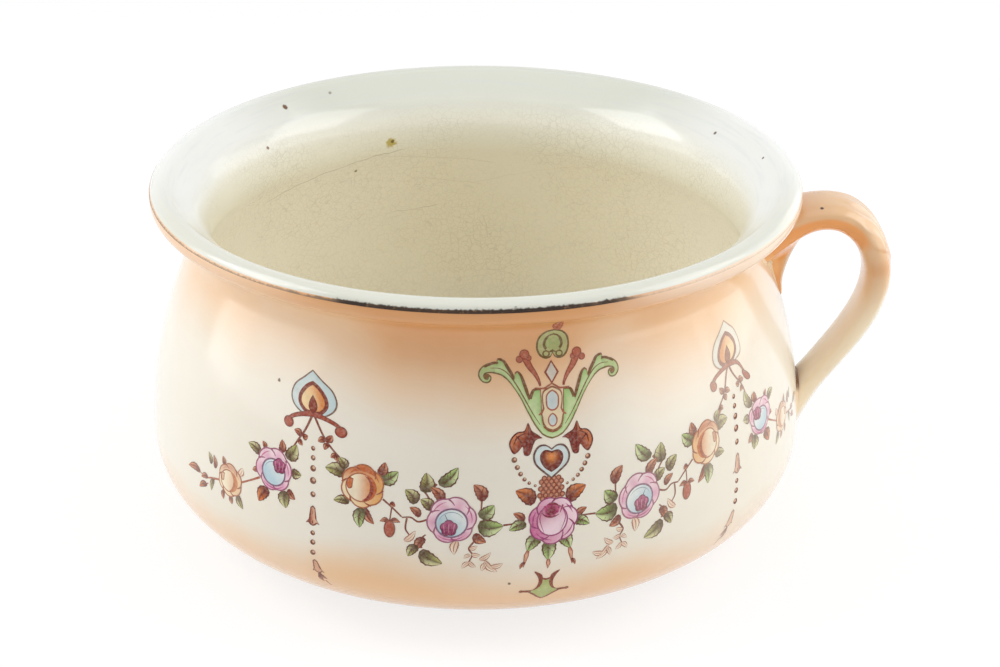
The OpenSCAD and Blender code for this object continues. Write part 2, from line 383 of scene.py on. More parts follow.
def turning_tree():
    """Turns a profile round the Z axis, as a wheel does, and closes the seam and the poles."""
    inputs = [
        ("Profile", "NodeSocketGeometry", None),
        ("Sides", "NodeSocketInt", BOWL_SIDES),
        ("Weld", "NodeSocketFloat", 0.000005),
        ("Glaze", "NodeSocketMaterial", None),
    ]
    outputs = [("Piece", "NodeSocketGeometry")]
    tree, given, result = new_tree("turn_on_wheel", "GeometryNodeTree", inputs, outputs)
    profile = given["Profile"]
    count = node(tree, "GeometryNodeAttributeDomainSize", {"Geometry": profile}).outputs["Point Count"]
    rings = plus(tree, given["Sides"], 1)
    grid = node(tree, "GeometryNodeMeshGrid", {"Vertices X": rings, "Vertices Y": count}).outputs
    index = node(tree, "GeometryNodeInputIndex").outputs[0]
    along = reckon(tree, "MODULO", index, count)
    turn = reckon(tree, "FLOOR", reckon(tree, "DIVIDE", plus(tree, index, 0.5), count))
    angle = reckon(tree, "DIVIDE", times(tree, turn, 2 * math.pi), given["Sides"])
    place = node(tree, "GeometryNodeInputPosition").outputs[0]
    sample = {"Geometry": profile, "Value": place, "Index": along}
    point = node(tree, "GeometryNodeSampleIndex", sample, data_type="FLOAT_VECTOR").outputs[0]
    parts = split(tree, point)
    unrolled = stored(tree, grid["Mesh"], "OFBake", grid["UV Map"], "FLOAT2", "CORNER")
    sample = {"Geometry": profile, "Value": kept_number(tree, "inside"), "Index": along}
    zone = node(tree, "GeometryNodeSampleIndex", sample).outputs[0]
    zoned = stored(tree, unrolled, "inside", zone, "FLOAT", "POINT")
    turned = {"Geometry": zoned, "Position": swung(tree, parts[0], angle, parts[2])}
    shaped = node(tree, "GeometryNodeSetPosition", turned).outputs[0]
    welded = node(tree, "GeometryNodeMergeByDistance", {"Geometry": shaped, "Distance": given["Weld"]})
    hand_over(tree, welded.outputs[0], given["Glaze"], result["Piece"])
    return tree


def wrapping_tree():
    """Lays a flat printed sheet on the outside of the bowl, with its beads set on their points.

    On the sheet, X runs round the pot, Y runs up its side from the belly's widest line, and Z is the height
    of the ink.
    """
    inputs = [
        ("Sheet", "NodeSocketGeometry", None),
        ("Beads", "NodeSocketObject", None),
        ("Outside", "NodeSocketObject", None),
        ("Belly length", "NodeSocketFloat", 0.0),
        ("Centre angle", "NodeSocketFloat", 0.0),
        ("Climb", "NodeSocketFloat", 0.0),
        ("Lean", "NodeSocketFloat", 0.0),
        ("Ink", "NodeSocketMaterial", None),
    ]
    tree, given, result = new_tree("lay_print", "GeometryNodeTree", inputs, [("Print", "NodeSocketGeometry")])
    points = node(tree, "GeometryNodeObjectInfo", {"Object": given["Beads"]}).outputs["Geometry"]
    disc = node(tree, "GeometryNodeMeshCircle", {"Vertices": 14, "Radius": 1.0}, fill_type="TRIANGLE_FAN")
    dots = {"Points": points, "Instance": disc.outputs[0], "Scale": kept_number(tree, "bead_r")}
    beads = node(tree, "GeometryNodeInstanceOnPoints", dots).outputs[0]
    real_beads = node(tree, "GeometryNodeRealizeInstances", {"Geometry": beads}).outputs[0]
    joined = node(tree, "GeometryNodeJoinGeometry")
    for part in (real_beads, given["Sheet"]):
        tree.links.new(part, joined.inputs[0])
    place = split(tree, node(tree, "GeometryNodeInputPosition").outputs[0])
    across = times(tree, place[1], given["Lean"], place[0])
    up = times(tree, place[0], given["Climb"], place[1])
    side = node(tree, "GeometryNodeObjectInfo", {"Object": given["Outside"]}).outputs["Geometry"]
    curve = node(tree, "GeometryNodeMeshToCurve", {0: side}).outputs[0]
    sample = {"Curves": curve, "Length": plus(tree, up, given["Belly length"])}
    on_side = node(tree, "GeometryNodeSampleCurve", sample, mode="LENGTH").outputs
    spot = split(tree, on_side["Position"])
    way = split(tree, on_side["Tangent"])
    radius = times(tree, place[2], way[2], spot[0])
    height = minus(tree, spot[2], times(tree, place[2], way[0]))
    angle = plus(tree, given["Centre angle"], reckon(tree, "DIVIDE", across, spot[0]))
    wrapped = {"Geometry": joined.outputs[0], "Position": swung(tree, radius, angle, height)}
    laid = node(tree, "GeometryNodeSetPosition", wrapped)
    hand_over(tree, laid.outputs[0], given["Ink"], result["Print"])
    return tree


def link(obj):
    bpy.context.scene.collection.objects.link(obj)
    return obj


def remove(obj):
    data = obj.data
    bpy.data.objects.remove(obj)
    bpy.data.meshes.remove(data)


def plain_mesh(obj):
    """Mesh of an object with its modifiers worked out."""
    graph = bpy.context.evaluated_depsgraph_get()
    return bpy.data.meshes.new_from_object(
        obj.evaluated_get(graph), preserve_all_data_layers=True, depsgraph=graph
    )


def grown(name, seed, tree, inputs):
    """Piece that a geometry tree makes from a seed object, as a plain mesh."""
    modifier = seed.modifiers.new("make", "NODES")
    modifier.node_group = tree
    for item in tree.interface.items_tree:
        if item.in_out == "INPUT" and item.name in inputs:
            modifier[item.identifier] = inputs[item.name]
    mesh = plain_mesh(seed)
    remove(seed)
    return link(bpy.data.objects.new(name, mesh))


def profile_seed(name, points, zones=None):
    """Mesh of one chain of edges in the XZ plane, from (radius, height) in millimetres."""
    mesh = bpy.data.meshes.new(name)
    chain = [(i, i + 1) for i in range(len(points) - 1)]
    mesh.from_pydata([(r * MM, 0, z * MM) for r, z in points], chain, [])
    values = mesh.attributes.new("inside", "FLOAT", "POINT")
    values.data.foreach_set("value", zones or [0.0] * len(points))
    return link(bpy.data.objects.new(name, mesh))


# Finishes

def crazing_group():
    """Fine net of cracks in the glaze, with some cracks stained darker than others."""
    inputs = {"Cells per metre": 220.0, "Width": 0.03, "Patchiness": 0.5}
    tree, given, result = effect_tree("crazing", inputs, "Cracks")
    spot = here(tree)
    drift = {0: noise(tree, spot, 90.0, 2.0, "Color"), 1: (0.006, 0.006, 0.006)}
    bent = node(tree, "ShaderNodeVectorMath", drift, operation="MULTIPLY").outputs[0]
    place = node(tree, "ShaderNodeVectorMath", {0: spot, 1: bent}, operation="ADD").outputs[0]
    net = {"Vector": place, "Scale": given["Cells per metre"]}
    cells = node(tree, "ShaderNodeTexVoronoi", net, feature="DISTANCE_TO_EDGE").outputs["Distance"]
    crack = fade(tree, cells, 0.0, given["Width"])
    patches = noise(tree, spot, 28.0, 3.0)
    shown = ramp(tree, patches, minus(tree, given["Patchiness"], 0.15), 0.72)
    tree.links.new(times(tree, crack, shown), result)
    return tree


def specks_group():
    """Few small pits and iron specks, one in some of the cells of a net."""
    inputs = {"Cells per metre": 60.0, "Size": 0.05, "Rarity": 0.9}
    tree, given, result = effect_tree("specks", inputs, "Specks")
    net = {"Vector": here(tree), "Scale": given["Cells per metre"]}
    cells = node(tree, "ShaderNodeTexVoronoi", net).outputs
    drawn = reckon(tree, "GREATER_THAN", split(tree, cells["Color"])[0], given["Rarity"])
    near = fade(tree, cells["Distance"], 0.0, given["Size"])
    tree.links.new(times(tree, drawn, near), result)
    return tree


def mottle_group():
    """Cloudy unevenness of a sprayed or brushed colour, around 0."""
    inputs = {"Clouds per metre": 30.0, "Depth": 0.1}
    tree, given, result = effect_tree("mottle", inputs, "Unevenness")
    clouds = noise(tree, here(tree), given["Clouds per metre"], 5.0)
    tree.links.new(times(tree, minus(tree, clouds, 0.5), given["Depth"]), result)
    return tree


def glaze_skin_group():
    """Height of a glaze's skin: slow waves from its running, and fine orange peel."""
    tree, given, result = effect_tree("glaze_skin", {"Waves": 1.0, "Peel": 0.1}, "Height")
    spot = here(tree)
    waves = times(tree, noise(tree, spot, 26.0, 1.0), given["Waves"])
    tree.links.new(times(tree, noise(tree, spot, 420.0, 2.0), given["Peel"], waves), result)
    return tree


def chip_group():
    """One chip, pit or stain at a given place, with a ragged edge."""
    tree, given, result = effect_tree("chip", {"Place": None, "Size": 0.001}, "Chip")
    spot = here(tree)
    ragged = minus(tree, noise(tree, spot, 900.0, 2.0), 0.5)
    ends = {0: spot, 1: given["Place"]}
    far = node(tree, "ShaderNodeVectorMath", ends, operation="DISTANCE").outputs["Value"]
    edge = times(tree, ragged, 0.9, reckon(tree, "DIVIDE", far, given["Size"]))
    tree.links.new(fade(tree, edge, 0.5, 1.0), result)
    return tree


def hairline_group():
    """One long crack round the wall, between two places that are given by angle and height."""
    inputs = {"From angle": 0.0, "From height": 0.0, "To angle": 1.0, "To height": 0.0, "Width": 0.0003}
    tree, given, result = effect_tree("hairline", inputs, "Crack")
    place = here(tree)
    spot = split(tree, place)
    angle = reckon(tree, "ARCTAN2", spot[1], spot[0])
    span = minus(tree, given["To angle"], given["From angle"])
    share = reckon(tree, "DIVIDE", minus(tree, angle, given["From angle"]), span)
    rise = minus(tree, given["To height"], given["From height"])
    level = times(tree, share, rise, given["From height"])
    level = times(tree, minus(tree, noise(tree, place, 110.0, 3.0), 0.5), 0.003, level)
    far = reckon(tree, "ABSOLUTE", minus(tree, spot[2], level))
    line = fade(tree, far, 0.0, given["Width"])
    within = times(tree, ramp(tree, share, 0.0, 0.06), ramp(tree, share, 1.0, 0.94))
    shown = times(tree, within, ramp(tree, noise(tree, place, 45.0, 2.0), 0.25, 0.6))
    tree.links.new(times(tree, line, shown), result)
    return tree


CRAZING = crazing_group()
SPECKS = specks_group()
MOTTLE = mottle_group()
GLAZE_SKIN = glaze_skin_group()
CHIP = chip_group()
HAIRLINE = hairline_group()

# Marks of use, in millimetres: a place and a size
OUTSIDE_SPECKS = [((-65.1, -85.5, 89.4), 0.8), ((11.1, -115.3, 28.9), 0.7)]
INSIDE_CHIPS = [
    ((-72.2, 75.3, 126.1), 1.3, paint(112, 74, 44)),
    ((-77.6, 56.2, 116.9), 0.9, paint(128, 96, 70)),
    ((-55.8, 89.0, 126.8), 0.8, paint(168, 162, 146)),
    ((-32.1, 88.6, 107.2), 0.9, paint(120, 104, 50)),
    ((-46.4, 87.1, 95.5), 0.9, paint(144, 134, 102)),
    ((88.7, 51.5, 124.6), 0.9, paint(104, 80, 58)),
    ((103.4, 20.0, 127.0), 0.7, paint(112, 84, 60)),
]
STAIN = (-32.7, 88.3, 106.6)
PINHOLE = (121.8, -8.3, 119.1)

# Long cracks inside: how dark each one shows, then the angle and the height of either end
HAIRLINES = [
    (0.5, 2.53, 0.0925, 1.85, 0.1035),
    (0.4, 2.05, 0.0700, 1.70, 0.0740),
    (0.25, 2.20, 0.0660, 1.84, 0.0700),
    (0.2, 2.08, 0.1029, 1.48, 0.0942),
    (0.2, 1.83, 0.0879, 1.54, 0.0834),
    (0.15, 1.60, 0.0840, 1.05, 0.0990),
]

# Shifts of the blush along X, in metres: where each starts and ends, and how far it brings the colour down
SPRAY_DROPS = [(-0.022, -0.042, -0.003), (0.032, 0.064, 0.006), (-0.060, -0.080, 0.002)]


def effect(tree, group, **values):
    """Output of a shared effect with this material's own values, given by socket name with _ for a space."""
    made = node(tree, "ShaderNodeGroup", node_tree=group)
    for label, value in values.items():
        made.inputs[label.replace("_", " ")].default_value = value
    return made.outputs[0]


def chip(tree, place, size):
    return effect(tree, CHIP, Place=[c * MM for c in place], Size=size * MM)


def new_material(name):
    """Plain finish, with its node tree and its shader."""
    material = bpy.data.materials.new(name)
    material.use_nodes = True
    return material, material.node_tree, material.node_tree.nodes["Principled BSDF"]


def ceramic(name, roughness):
    """New glossy glaze with its skin, and the tree, shader and place to paint it with."""
    material, tree, shader = new_material(name)
    skin = effect(tree, GLAZE_SKIN, Waves=1.0, Peel=0.03)
    bump = node(tree, "ShaderNodeBump", {"Height": skin, "Strength": 0.35, "Distance": 0.0003})
    dull = plus(tree, effect(tree, MOTTLE, Clouds_per_metre=45.0, Depth=0.14), roughness)
    fill(tree, shader, {"IOR": 1.52, "Coat Weight": 0.25, "Coat Roughness": 0.04})
    fill(tree, shader, {"Normal": bump.outputs[0], "Roughness": dull})
    return material, tree, shader, split(tree, here(tree))


def read(tree, attribute, output="Fac"):
    """Value that a piece keeps on its points."""
    options = {"attribute_type": "GEOMETRY", "attribute_name": attribute}
    return node(tree, "ShaderNodeAttribute", **options).outputs[output]


def cream_glaze():
    """Cream glaze with the peach blush outside, a cool white lip and a crazed, yellowed inside, with some
    shade and highlights painted in.
    """
    material, tree, shader, spot = ceramic("cream_glaze", 0.16)
    uneven = effect(tree, MOTTLE, Clouds_per_metre=16.0, Depth=0.03)
    height = plus(tree, spot[2], uneven)
    sideways = reckon(tree, "ABSOLUTE", spot[0])
    at_side = ramp(tree, sideways, 0.035, 0.085)
    sprayed = times(tree, ramp(tree, sideways, 0.022, 0.050), -0.006, height)
    for start, end, drop in SPRAY_DROPS:
        sprayed = times(tree, ramp(tree, spot[0], start, end), drop, sprayed)
    by_handle = times(tree, ramp(tree, spot[0], 0.080, 0.097), -0.5, 1.0)
    under_lip = times(tree, ramp(tree, sprayed, 0.074, 0.112), by_handle)
    # Deep blush under the lip: partly the blush itself, partly painted shade in the hollow under the lip.
    deep = times(tree, ramp(tree, sprayed, 0.098, 0.120), by_handle)
    by_base = ramp(tree, height, 0.043, 0.020)
    clouds = effect(tree, MOTTLE, Clouds_per_metre=9.0, Depth=0.9)
    cream = tint(tree, plus(tree, clouds, 0.4), paint(247, 242, 229), paint(240, 231, 211))
    outside = tint(tree, under_lip, cream, paint(245, 202, 152))
    # Painted shade: the deep blush and the blush round the base are painted darker at the front than at the
    # sides.
    outside = tint(tree, deep, outside, tint(tree, at_side, paint(229, 163, 101), paint(243, 192, 140)))
    outside = tint(tree, by_base, outside, tint(tree, at_side, paint(246, 201, 150), paint(250, 211, 168)))
    # Painted highlight: the lip's underside is painted paler on the right and at the left end.
    on_right = times(tree, ramp(tree, spot[0], 0.03, 0.08), 0.55)
    at_ends = times(tree, ramp(tree, spot[0], -0.04, -0.09), 0.25, on_right)
    lip_painted_highlight = times(tree, ramp(tree, spot[2], 0.1215, 0.1255), at_ends)
    outside = tint(tree, lip_painted_highlight, outside, paint(252, 238, 222))
    specks = effect(tree, SPECKS, Cells_per_metre=42.0, Size=0.035, Rarity=0.955)
    outside = tint(tree, times(tree, specks, 0.3), outside, paint(120, 96, 70))
    for place, size in OUTSIDE_SPECKS:
        outside = tint(tree, chip(tree, place, size), outside, paint(124, 98, 72))

    radius = reckon(tree, "SQRT", times(tree, spot[1], spot[1], times(tree, spot[0], spot[0])))
    # Painted shade: the white flare is painted greyer at the back than at the sides.
    white = tint(tree, ramp(tree, spot[1], 0.045, 0.095), paint(248, 249, 245), paint(221, 223, 211))
    crown = times(tree, ramp(tree, radius, 0.103, 0.110), ramp(tree, spot[1], 0.02, -0.05))
    white = tint(tree, crown, white, paint(229, 229, 216))
    turn_x = times(tree, reckon(tree, "DIVIDE", spot[0], radius), 0.006)
    turn_y = times(tree, reckon(tree, "DIVIDE", spot[1], radius), 0.006)
    turned = node(tree, "ShaderNodeCombineXYZ", {"X": turn_x, "Y": turn_y, "Z": radius}).outputs[0]
    streaks = times(tree, ramp(tree, noise(tree, turned, 800.0, 2.0), 0.46, 0.74), 0.18)
    white = tint(tree, streaks, white, paint(210, 219, 224))
    depth = ramp(tree, times(tree, uneven, 0.12, spot[2]), 0.1245, 0.1125)
    clouds = effect(tree, MOTTLE, Clouds_per_metre=14.0, Depth=1.2)
    yellowed = tint(tree, plus(tree, clouds, 0.4), paint(253, 249, 234), paint(250, 242, 218))
    yellowed = tint(tree, ramp(tree, spot[2], 0.094, 0.112), yellowed, paint(249, 247, 232))
    inside = tint(tree, depth, white, yellowed)
    fine = times(tree, effect(tree, CRAZING, Cells_per_metre=480.0, Width=0.07, Patchiness=0.25), 0.2)
    coarse = times(tree, effect(tree, CRAZING, Cells_per_metre=230.0, Width=0.03, Patchiness=0.35), 0.24)
    cracks = reckon(tree, "MAXIMUM", fine, coarse)
    for strength, angle, level, to_angle, to_level in HAIRLINES:
        ends = {"From_angle": angle, "From_height": level, "To_angle": to_angle, "To_height": to_level}
        line = times(tree, effect(tree, HAIRLINE, **ends), strength)
        cracks = reckon(tree, "MAXIMUM", cracks, line)
    inside = tint(tree, times(tree, cracks, depth), inside, paint(146, 124, 90))
    inside = tint(tree, chip(tree, STAIN, 2.5), inside, paint(202, 182, 98))
    for place, size, colour in INSIDE_CHIPS:
        inside = tint(tree, chip(tree, place, size), inside, colour)
    fill(tree, shader, {"Base Color": tint(tree, read(tree, "inside"), outside, inside)})
    return material


def printed_ink():
    """Printed and hand-tinted colours under the glaze, each kept on the sheet's points."""
    material, tree, shader = ceramic("printed_ink", 0.18)[:3]
    ink = read(tree, "print_colour", "Color")
    grain = effect(tree, MOTTLE, Clouds_per_metre=1100.0, Depth=0.6)
    washed = tint(tree, plus(tree, grain, 0.04), ink, paint(244, 234, 214))
    cloud = effect(tree, MOTTLE, Clouds_per_metre=300.0, Depth=0.5)
    deeper = tint(tree, cloud, washed, paint(90, 40, 26), "MULTIPLY")
    fill(tree, shader, {"Base Color": deeper, "Specular IOR Level": 0.22})
    return material


def tan_glaze():
    """Glaze of the handle: tan, with orange painted shade under the top limb and painted highlights on the
    long edges of the lower limb.
    """
    material, tree, shader, spot = ceramic("tan_glaze", 0.16)
    uneven = effect(tree, MOTTLE, Clouds_per_metre=40.0, Depth=0.5)

    def zone(name, push, low, high):
        return ramp(tree, times(tree, uneven, push, read(tree, name)), low, high)

    tan = tint(tree, plus(tree, uneven, 0.45), paint(237, 199, 157), paint(229, 181, 129))
    light = tint(tree, plus(tree, uneven, 0.45), paint(255, 240, 210), paint(254, 228, 188))
    # Painted light: the lower limb is painted paler than the top.
    tan = tint(tree, ramp(tree, spot[2], 0.098, 0.074), tan, light)
    # Painted shade: orange under the top limb, for its shaded underside with the bowl's orange reflected in
    # it.
    colour = tint(tree, zone("under", 0.5, 0.2, 0.8), tan, paint(242, 164, 86))
    colour = tint(tree, zone("root", 0.6, 0.3, 1.0), colour, paint(249, 182, 106))
    # Orange along the edge of the moulded leaf, and painted shade at the leaf's tip.
    colour = tint(tree, times(tree, read(tree, "groove"), 0.6), colour, paint(226, 146, 78))
    # Painted highlights on the long edges, the leaf's ribs and the tongue's edge.
    colour = tint(tree, zone("pale", 0.5, 0.15, 0.95), colour, paint(253, 244, 228))
    pits = effect(tree, SPECKS, Cells_per_metre=70.0, Size=0.05, Rarity=0.98)
    colour = tint(tree, pits, colour, paint(96, 60, 34))
    colour = tint(tree, chip(tree, PINHOLE, 0.9), colour, paint(70, 40, 22))
    fill(tree, shader, {"Base Color": colour})
    return material


def slip_glaze():
    """Slip squeezed out of the joints: orange under the lip, pale by the tongue, darker brown along the top
    of the lower joint.
    """
    material, tree, shader, spot = ceramic("slip", 0.18)
    uneven = effect(tree, MOTTLE, Clouds_per_metre=120.0, Depth=1.2)
    pale = tint(tree, plus(tree, uneven, 0.4), paint(250, 230, 198), paint(246, 208, 160))
    pooled = ramp(tree, spot[2], 0.101, 0.107)
    colour = tint(tree, pooled, pale, paint(246, 192, 126))
    darker_top = ramp(tree, times(tree, uneven, 0.3, read(tree, "top_darkening")), 0.1, 0.9)
    fill(tree, shader, {"Base Color": tint(tree, darker_top, colour, paint(136, 94, 56))})
    return material


def worn_gilding():
    """Tarnished metal line painted almost black at the front as a painted reflection, and worn to a thin
    grey-brown trace elsewhere.
    """
    material, tree, shader = new_material("worn_gilding")
    place = here(tree)
    spot = split(tree, place)
    patches = noise(tree, place, 60.0, 4.0)
    fine = noise(tree, place, 900.0, 4.0)
    # Painted reflection: the front of the line is painted near-black, for the dark room it would mirror.
    front = ramp(tree, times(tree, patches, 0.03, spot[1]), -0.084, -0.095)
    dark = tint(tree, ramp(tree, patches, 0.35, 0.7), paint(44, 33, 26), paint(76, 56, 40))
    colour = tint(tree, front, paint(166, 146, 124), dark)
    colour = tint(tree, ramp(tree, fine, 0.55, 0.8), colour, paint(138, 106, 72))
    rise = ramp(tree, spot[2], (LIP_CZ + 1.2) * MM, (LIP_CZ + 3.1) * MM)
    torn = times(tree, fine, 0.55, times(tree, rise, 0.62))
    torn = times(tree, patches, 0.4, torn)
    torn = times(tree, front, -0.3, torn)
    whole = fade(tree, torn, 0.5, 0.74)
    thin = times(tree, ramp(tree, spot[0], 0.03, 0.07), -0.35, 0.5)
    strength = times(tree, front, 0.45, thin)
    bump = node(tree, "ShaderNodeBump", {"Height": fine, "Strength": 0.4, "Distance": 0.0002})
    fill(tree, shader, {"Base Color": colour, "Metallic": 0.4, "Roughness": times(tree, fine, 0.3, 0.25)})
    fill(tree, shader, {"Alpha": times(tree, whole, strength), "Normal": bump.outputs[0]})
    return material


CREAM = cream_glaze()
INK = printed_ink()
TAN = tan_glaze()
SLIP = slip_glaze()
GILDING = worn_gilding()


def finish_piece(piece, slot, *nodes):
    """Rides a finished piece on the pot and hides the solids it stands for. Its slot is not used."""
    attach(piece, "root")
    if nodes:
        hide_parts(*nodes)


# Bowl and metal line

TURNING = turning_tree()


def make_bowl():
    """Glazed bowl. Its outside starts above the foot ring's corner, where glaze has pooled."""
    foot = foot_profile()
    outside = outside_profile()[3:]
    lip = arc(LIP_CR, LIP_CZ, LIP_R, HOLLOW_END - 180, 29, 18)
    inside = inside_profile()
    points = foot + outside + lip + inside
    zones = [0.0] * (len(points) - len(inside)) + [1.0] * len(inside)
    seed = profile_seed("bowl_profile", points, zones)
    bowl = grown("bowl_glazed", seed, TURNING, {"Sides": BOWL_SIDES, "Glaze": CREAM})
    finish_piece(bowl, "cream_glaze", "bowl")


def make_rim_line():
    """Worn metal line on the roll of the lip, sunk a little into the glaze."""
    under = arc(LIP_CR, LIP_CZ, LIP_R - LINE_SINK, LINE_TO, LINE_FROM, 8)
    over = arc(LIP_CR, LIP_CZ, LIP_R + LINE_T, LINE_FROM, LINE_TO, 8)
    points = over + under
    seed = profile_seed("line_profile", points + points[:1])
    line = grown("rim_line_worn", seed, TURNING, {"Sides": BOWL_SIDES, "Glaze": GILDING})
    finish_piece(line, "worn_gilding", "rim_line")


# Handle

def along(angle, length):
    return Vector((math.cos(math.radians(angle)), 0, math.sin(math.radians(angle)))) * length


TOP_ROOT = Vector((outside_radius(HANDLE_TOP_Z) - TOP_SINK, 0, HANDLE_TOP_Z))
LOW_ROOT = Vector((outside_radius(HANDLE_LOW_Z) - LOW_SINK, 0, HANDLE_LOW_Z))
BEND = Vector((HANDLE_OUT, 0, HANDLE_MID_Z))
TOP_SPAN = (TOP_ROOT, TOP_ROOT + along(HANDLE_RISE, TOP_PULL), BEND + Vector((0, 0, BEND_PULL)), BEND)
LOW_SPAN = (BEND, BEND - Vector((0, 0, LOW_BEND_PULL)), LOW_ROOT + along(HANDLE_LIFT, LOW_PULL), LOW_ROOT)


def handle_line(u):
    """Point and direction on the handle's centre line, with u from 0 at the neck to 2 at the belly."""
    p = TOP_SPAN if u < 1 else LOW_SPAN
    t = u if u < 1 else u - 1
    s = 1 - t
    point = p[0] * s ** 3 + p[1] * 3 * t * s * s + p[2] * 3 * t * t * s + p[3] * t ** 3
    way = (p[1] - p[0]) * 3 * s * s + (p[2] - p[1]) * 6 * t * s + (p[3] - p[2]) * 3 * t * t
    return point, way.normalized()


HANDLE_SAMPLES = [(i / 80, *handle_line(i / 80)) for i in range(161)]


def swelling(u):
    return (1 - ease(u / SWELL_SHARE)) + ease((u - 2 + SWELL_SHARE) / SWELL_SHARE)


def handle_width(u):
    return mix(HANDLE_TOP_W, HANDLE_LOW_W, ease((u - 0.5) / 1.2)) + ROOT_SWELL * swelling(u)


def handle_thickness(u):
    return mix(HANDLE_T, HANDLE_LOW_T, ease(u - 0.8)) + ROOT_SWELL * swelling(u)


def squared(v):
    return math.copysign(abs(v) ** CORNER_POWER, v)


def loft(bm, rings):
    """Closed skin through rings that have the same number of points."""
    rows = [[bm.verts.new(p * MM) for p in ring] for ring in rings]
    sides = len(rows[0])
    for a, b in zip(rows, rows[1:]):
        for i in range(sides):
            j = (i + 1) % sides
            bm.faces.new((a[i], a[j], b[j], b[i]))
    bm.faces.new(rows[0][::-1])
    bm.faces.new(rows[-1])


def handle_ring(u, sides=56):
    point, way = handle_line(u)
    outward = Vector((-way.z, 0, way.x))
    ring = []
    for i in range(sides):
        a = 2 * math.pi * i / sides
        over = outward * (handle_thickness(u) / 2 * squared(math.sin(a)))
        ring.append(point + over + Vector((0, handle_width(u) / 2 * squared(math.cos(a)), 0)))
    return ring


def tongue_ring(f, sides=40):
    z = mix(TONGUE_TOP_Z, TONGUE_TIP_Z, f)
    t = TONGUE_T * (1 - f) ** TONGUE_CURVE
    w = mix(TONGUE_W, TONGUE_TIP_W, f) / 2
    angles = [2 * math.pi * i / sides for i in range(sides)]
    return [Vector((outside_radius(z) + t * math.cos(a), w * math.sin(a), z)) for a in angles]


def clay_handle():
    """Handle and tongue as one smooth piece of clay, before it is trimmed to the bowl."""
    bm = bmesh.new()
    loft(bm, [handle_ring(i / 50) for i in range(101)])
    loft(bm, [tongue_ring(i / 31) for i in range(31)])
    bmesh.ops.recalc_face_normals(bm, faces=bm.faces)
    rough = cast(bm, "handle_clay")
    remesh = rough.modifiers.new("one_clay", "REMESH")
    remesh.mode = "VOXEL"
    remesh.voxel_size = CLAY_GRAIN * MM
    clay = plain_mesh(rough)
    remove(rough)
    bm = bmesh.new()
    bm.from_mesh(clay)
    bpy.data.meshes.remove(clay)
    sponge(bm, bm.verts, 26)
    inner_corner = []
    for vert in bm.verts:
        point = vert.co / MM
        u, _, out = handle_place(point)
        if u < 0.5 and out < -0.2 and abs(point.y) < 11.5 and height_over_bowl(point) > 1.0:
            inner_corner.append(vert)
    sponge(bm, inner_corner, 160)
    return bm


def cast(bm, name):
    """Object made of modelled clay, which is used up."""
    mesh = bpy.data.meshes.new(name)
    bm.to_mesh(mesh)
    bm.free()
    return link(bpy.data.objects.new(name, mesh))


def sponge(bm, verts, turns):
    """Smooths clay, as a wet sponge does."""
    every_way = {"use_axis_x": True, "use_axis_y": True, "use_axis_z": True}
    for _ in range(turns):
        bmesh.ops.smooth_vert(bm, verts=list(verts), factor=0.5, **every_way)


def handle_place(point):
    """Where a point lies on the handle: u along it, across it and out of it, both from -1 to 1."""
    u, centre, way = min(HANDLE_SAMPLES, key=lambda s: (s[1] - point).length_squared)
    outward = Vector((-way.z, 0, way.x))
    out = (point - centre).dot(outward) / (handle_thickness(u) / 2)
    return u, point.y / (handle_width(u) / 2), out


def leaf_cover(u, across, out):
    """1 on the moulded leaf that lies over the handle's shoulder, 0 off it. Its end is pointed."""
    around = math.degrees(math.atan2(out, abs(across)))
    side = mix(34.0, 8.0, ease((u - 0.36) / 0.28)) + 66 * ease((u - 0.67) / 0.22) - 5 * math.sin(22 * u)
    return ease((around - side) / 18.0 + 0.5) * ease((u - 0.28) / 0.24) * (1 - ease((u - 0.86) / 0.07))


def leaf_ribs(u, across, out):
    """1 on the ribs that run along the leaf and draw together at its tip."""
    around = math.degrees(math.atan2(out, abs(across)))
    close = 1 - 0.5 * ease((u - 0.4) / 0.55)
    best = 0.0
    for spread, width in ((0, 10), (36, 8), (66, 8)):
        wave = 4 * math.sin(26 * u + spread)
        best = max(best, math.exp(-(((90 - around - spread * close + wave) / width) ** 2)))
    return best


def leaf_height(u, across, out):
    """Relief of the leaf in millimetres."""
    return LEAF_H * leaf_cover(u, across, out) * (0.35 + 0.65 * leaf_ribs(u, across, out))


def joint_lines(bm, heights):
    """Lines on the handle's skin that lie JOINT_H in front of the bowl, each as points in their order."""
    bm.edges.index_update()
    spots = {}
    for cut in bm.edges:
        a, b = cut.verts
        if (heights[a.index] - JOINT_H) * (heights[b.index] - JOINT_H) < 0:
            share = (JOINT_H - heights[a.index]) / (heights[b.index] - heights[a.index])
            spots[cut.index] = a.co.lerp(b.co, share) / MM
    beside = {index: [] for index in spots}
    for face in bm.faces:
        cuts = [edge.index for edge in face.edges if edge.index in spots]
        for a, b in zip(cuts[0::2], cuts[1::2]):
            beside[a].append(b)
            beside[b].append(a)
    lines = []
    left = set(spots)
    while left:
        line = [min(left)]
        while line:
            left.discard(line[-1])
            ahead = [index for index in beside[line[-1]] if index in left]
            if not ahead:
                break
            line.append(ahead[0])
        lines.append([spots[index] for index in line])
    return sorted(lines, key=len, reverse=True)


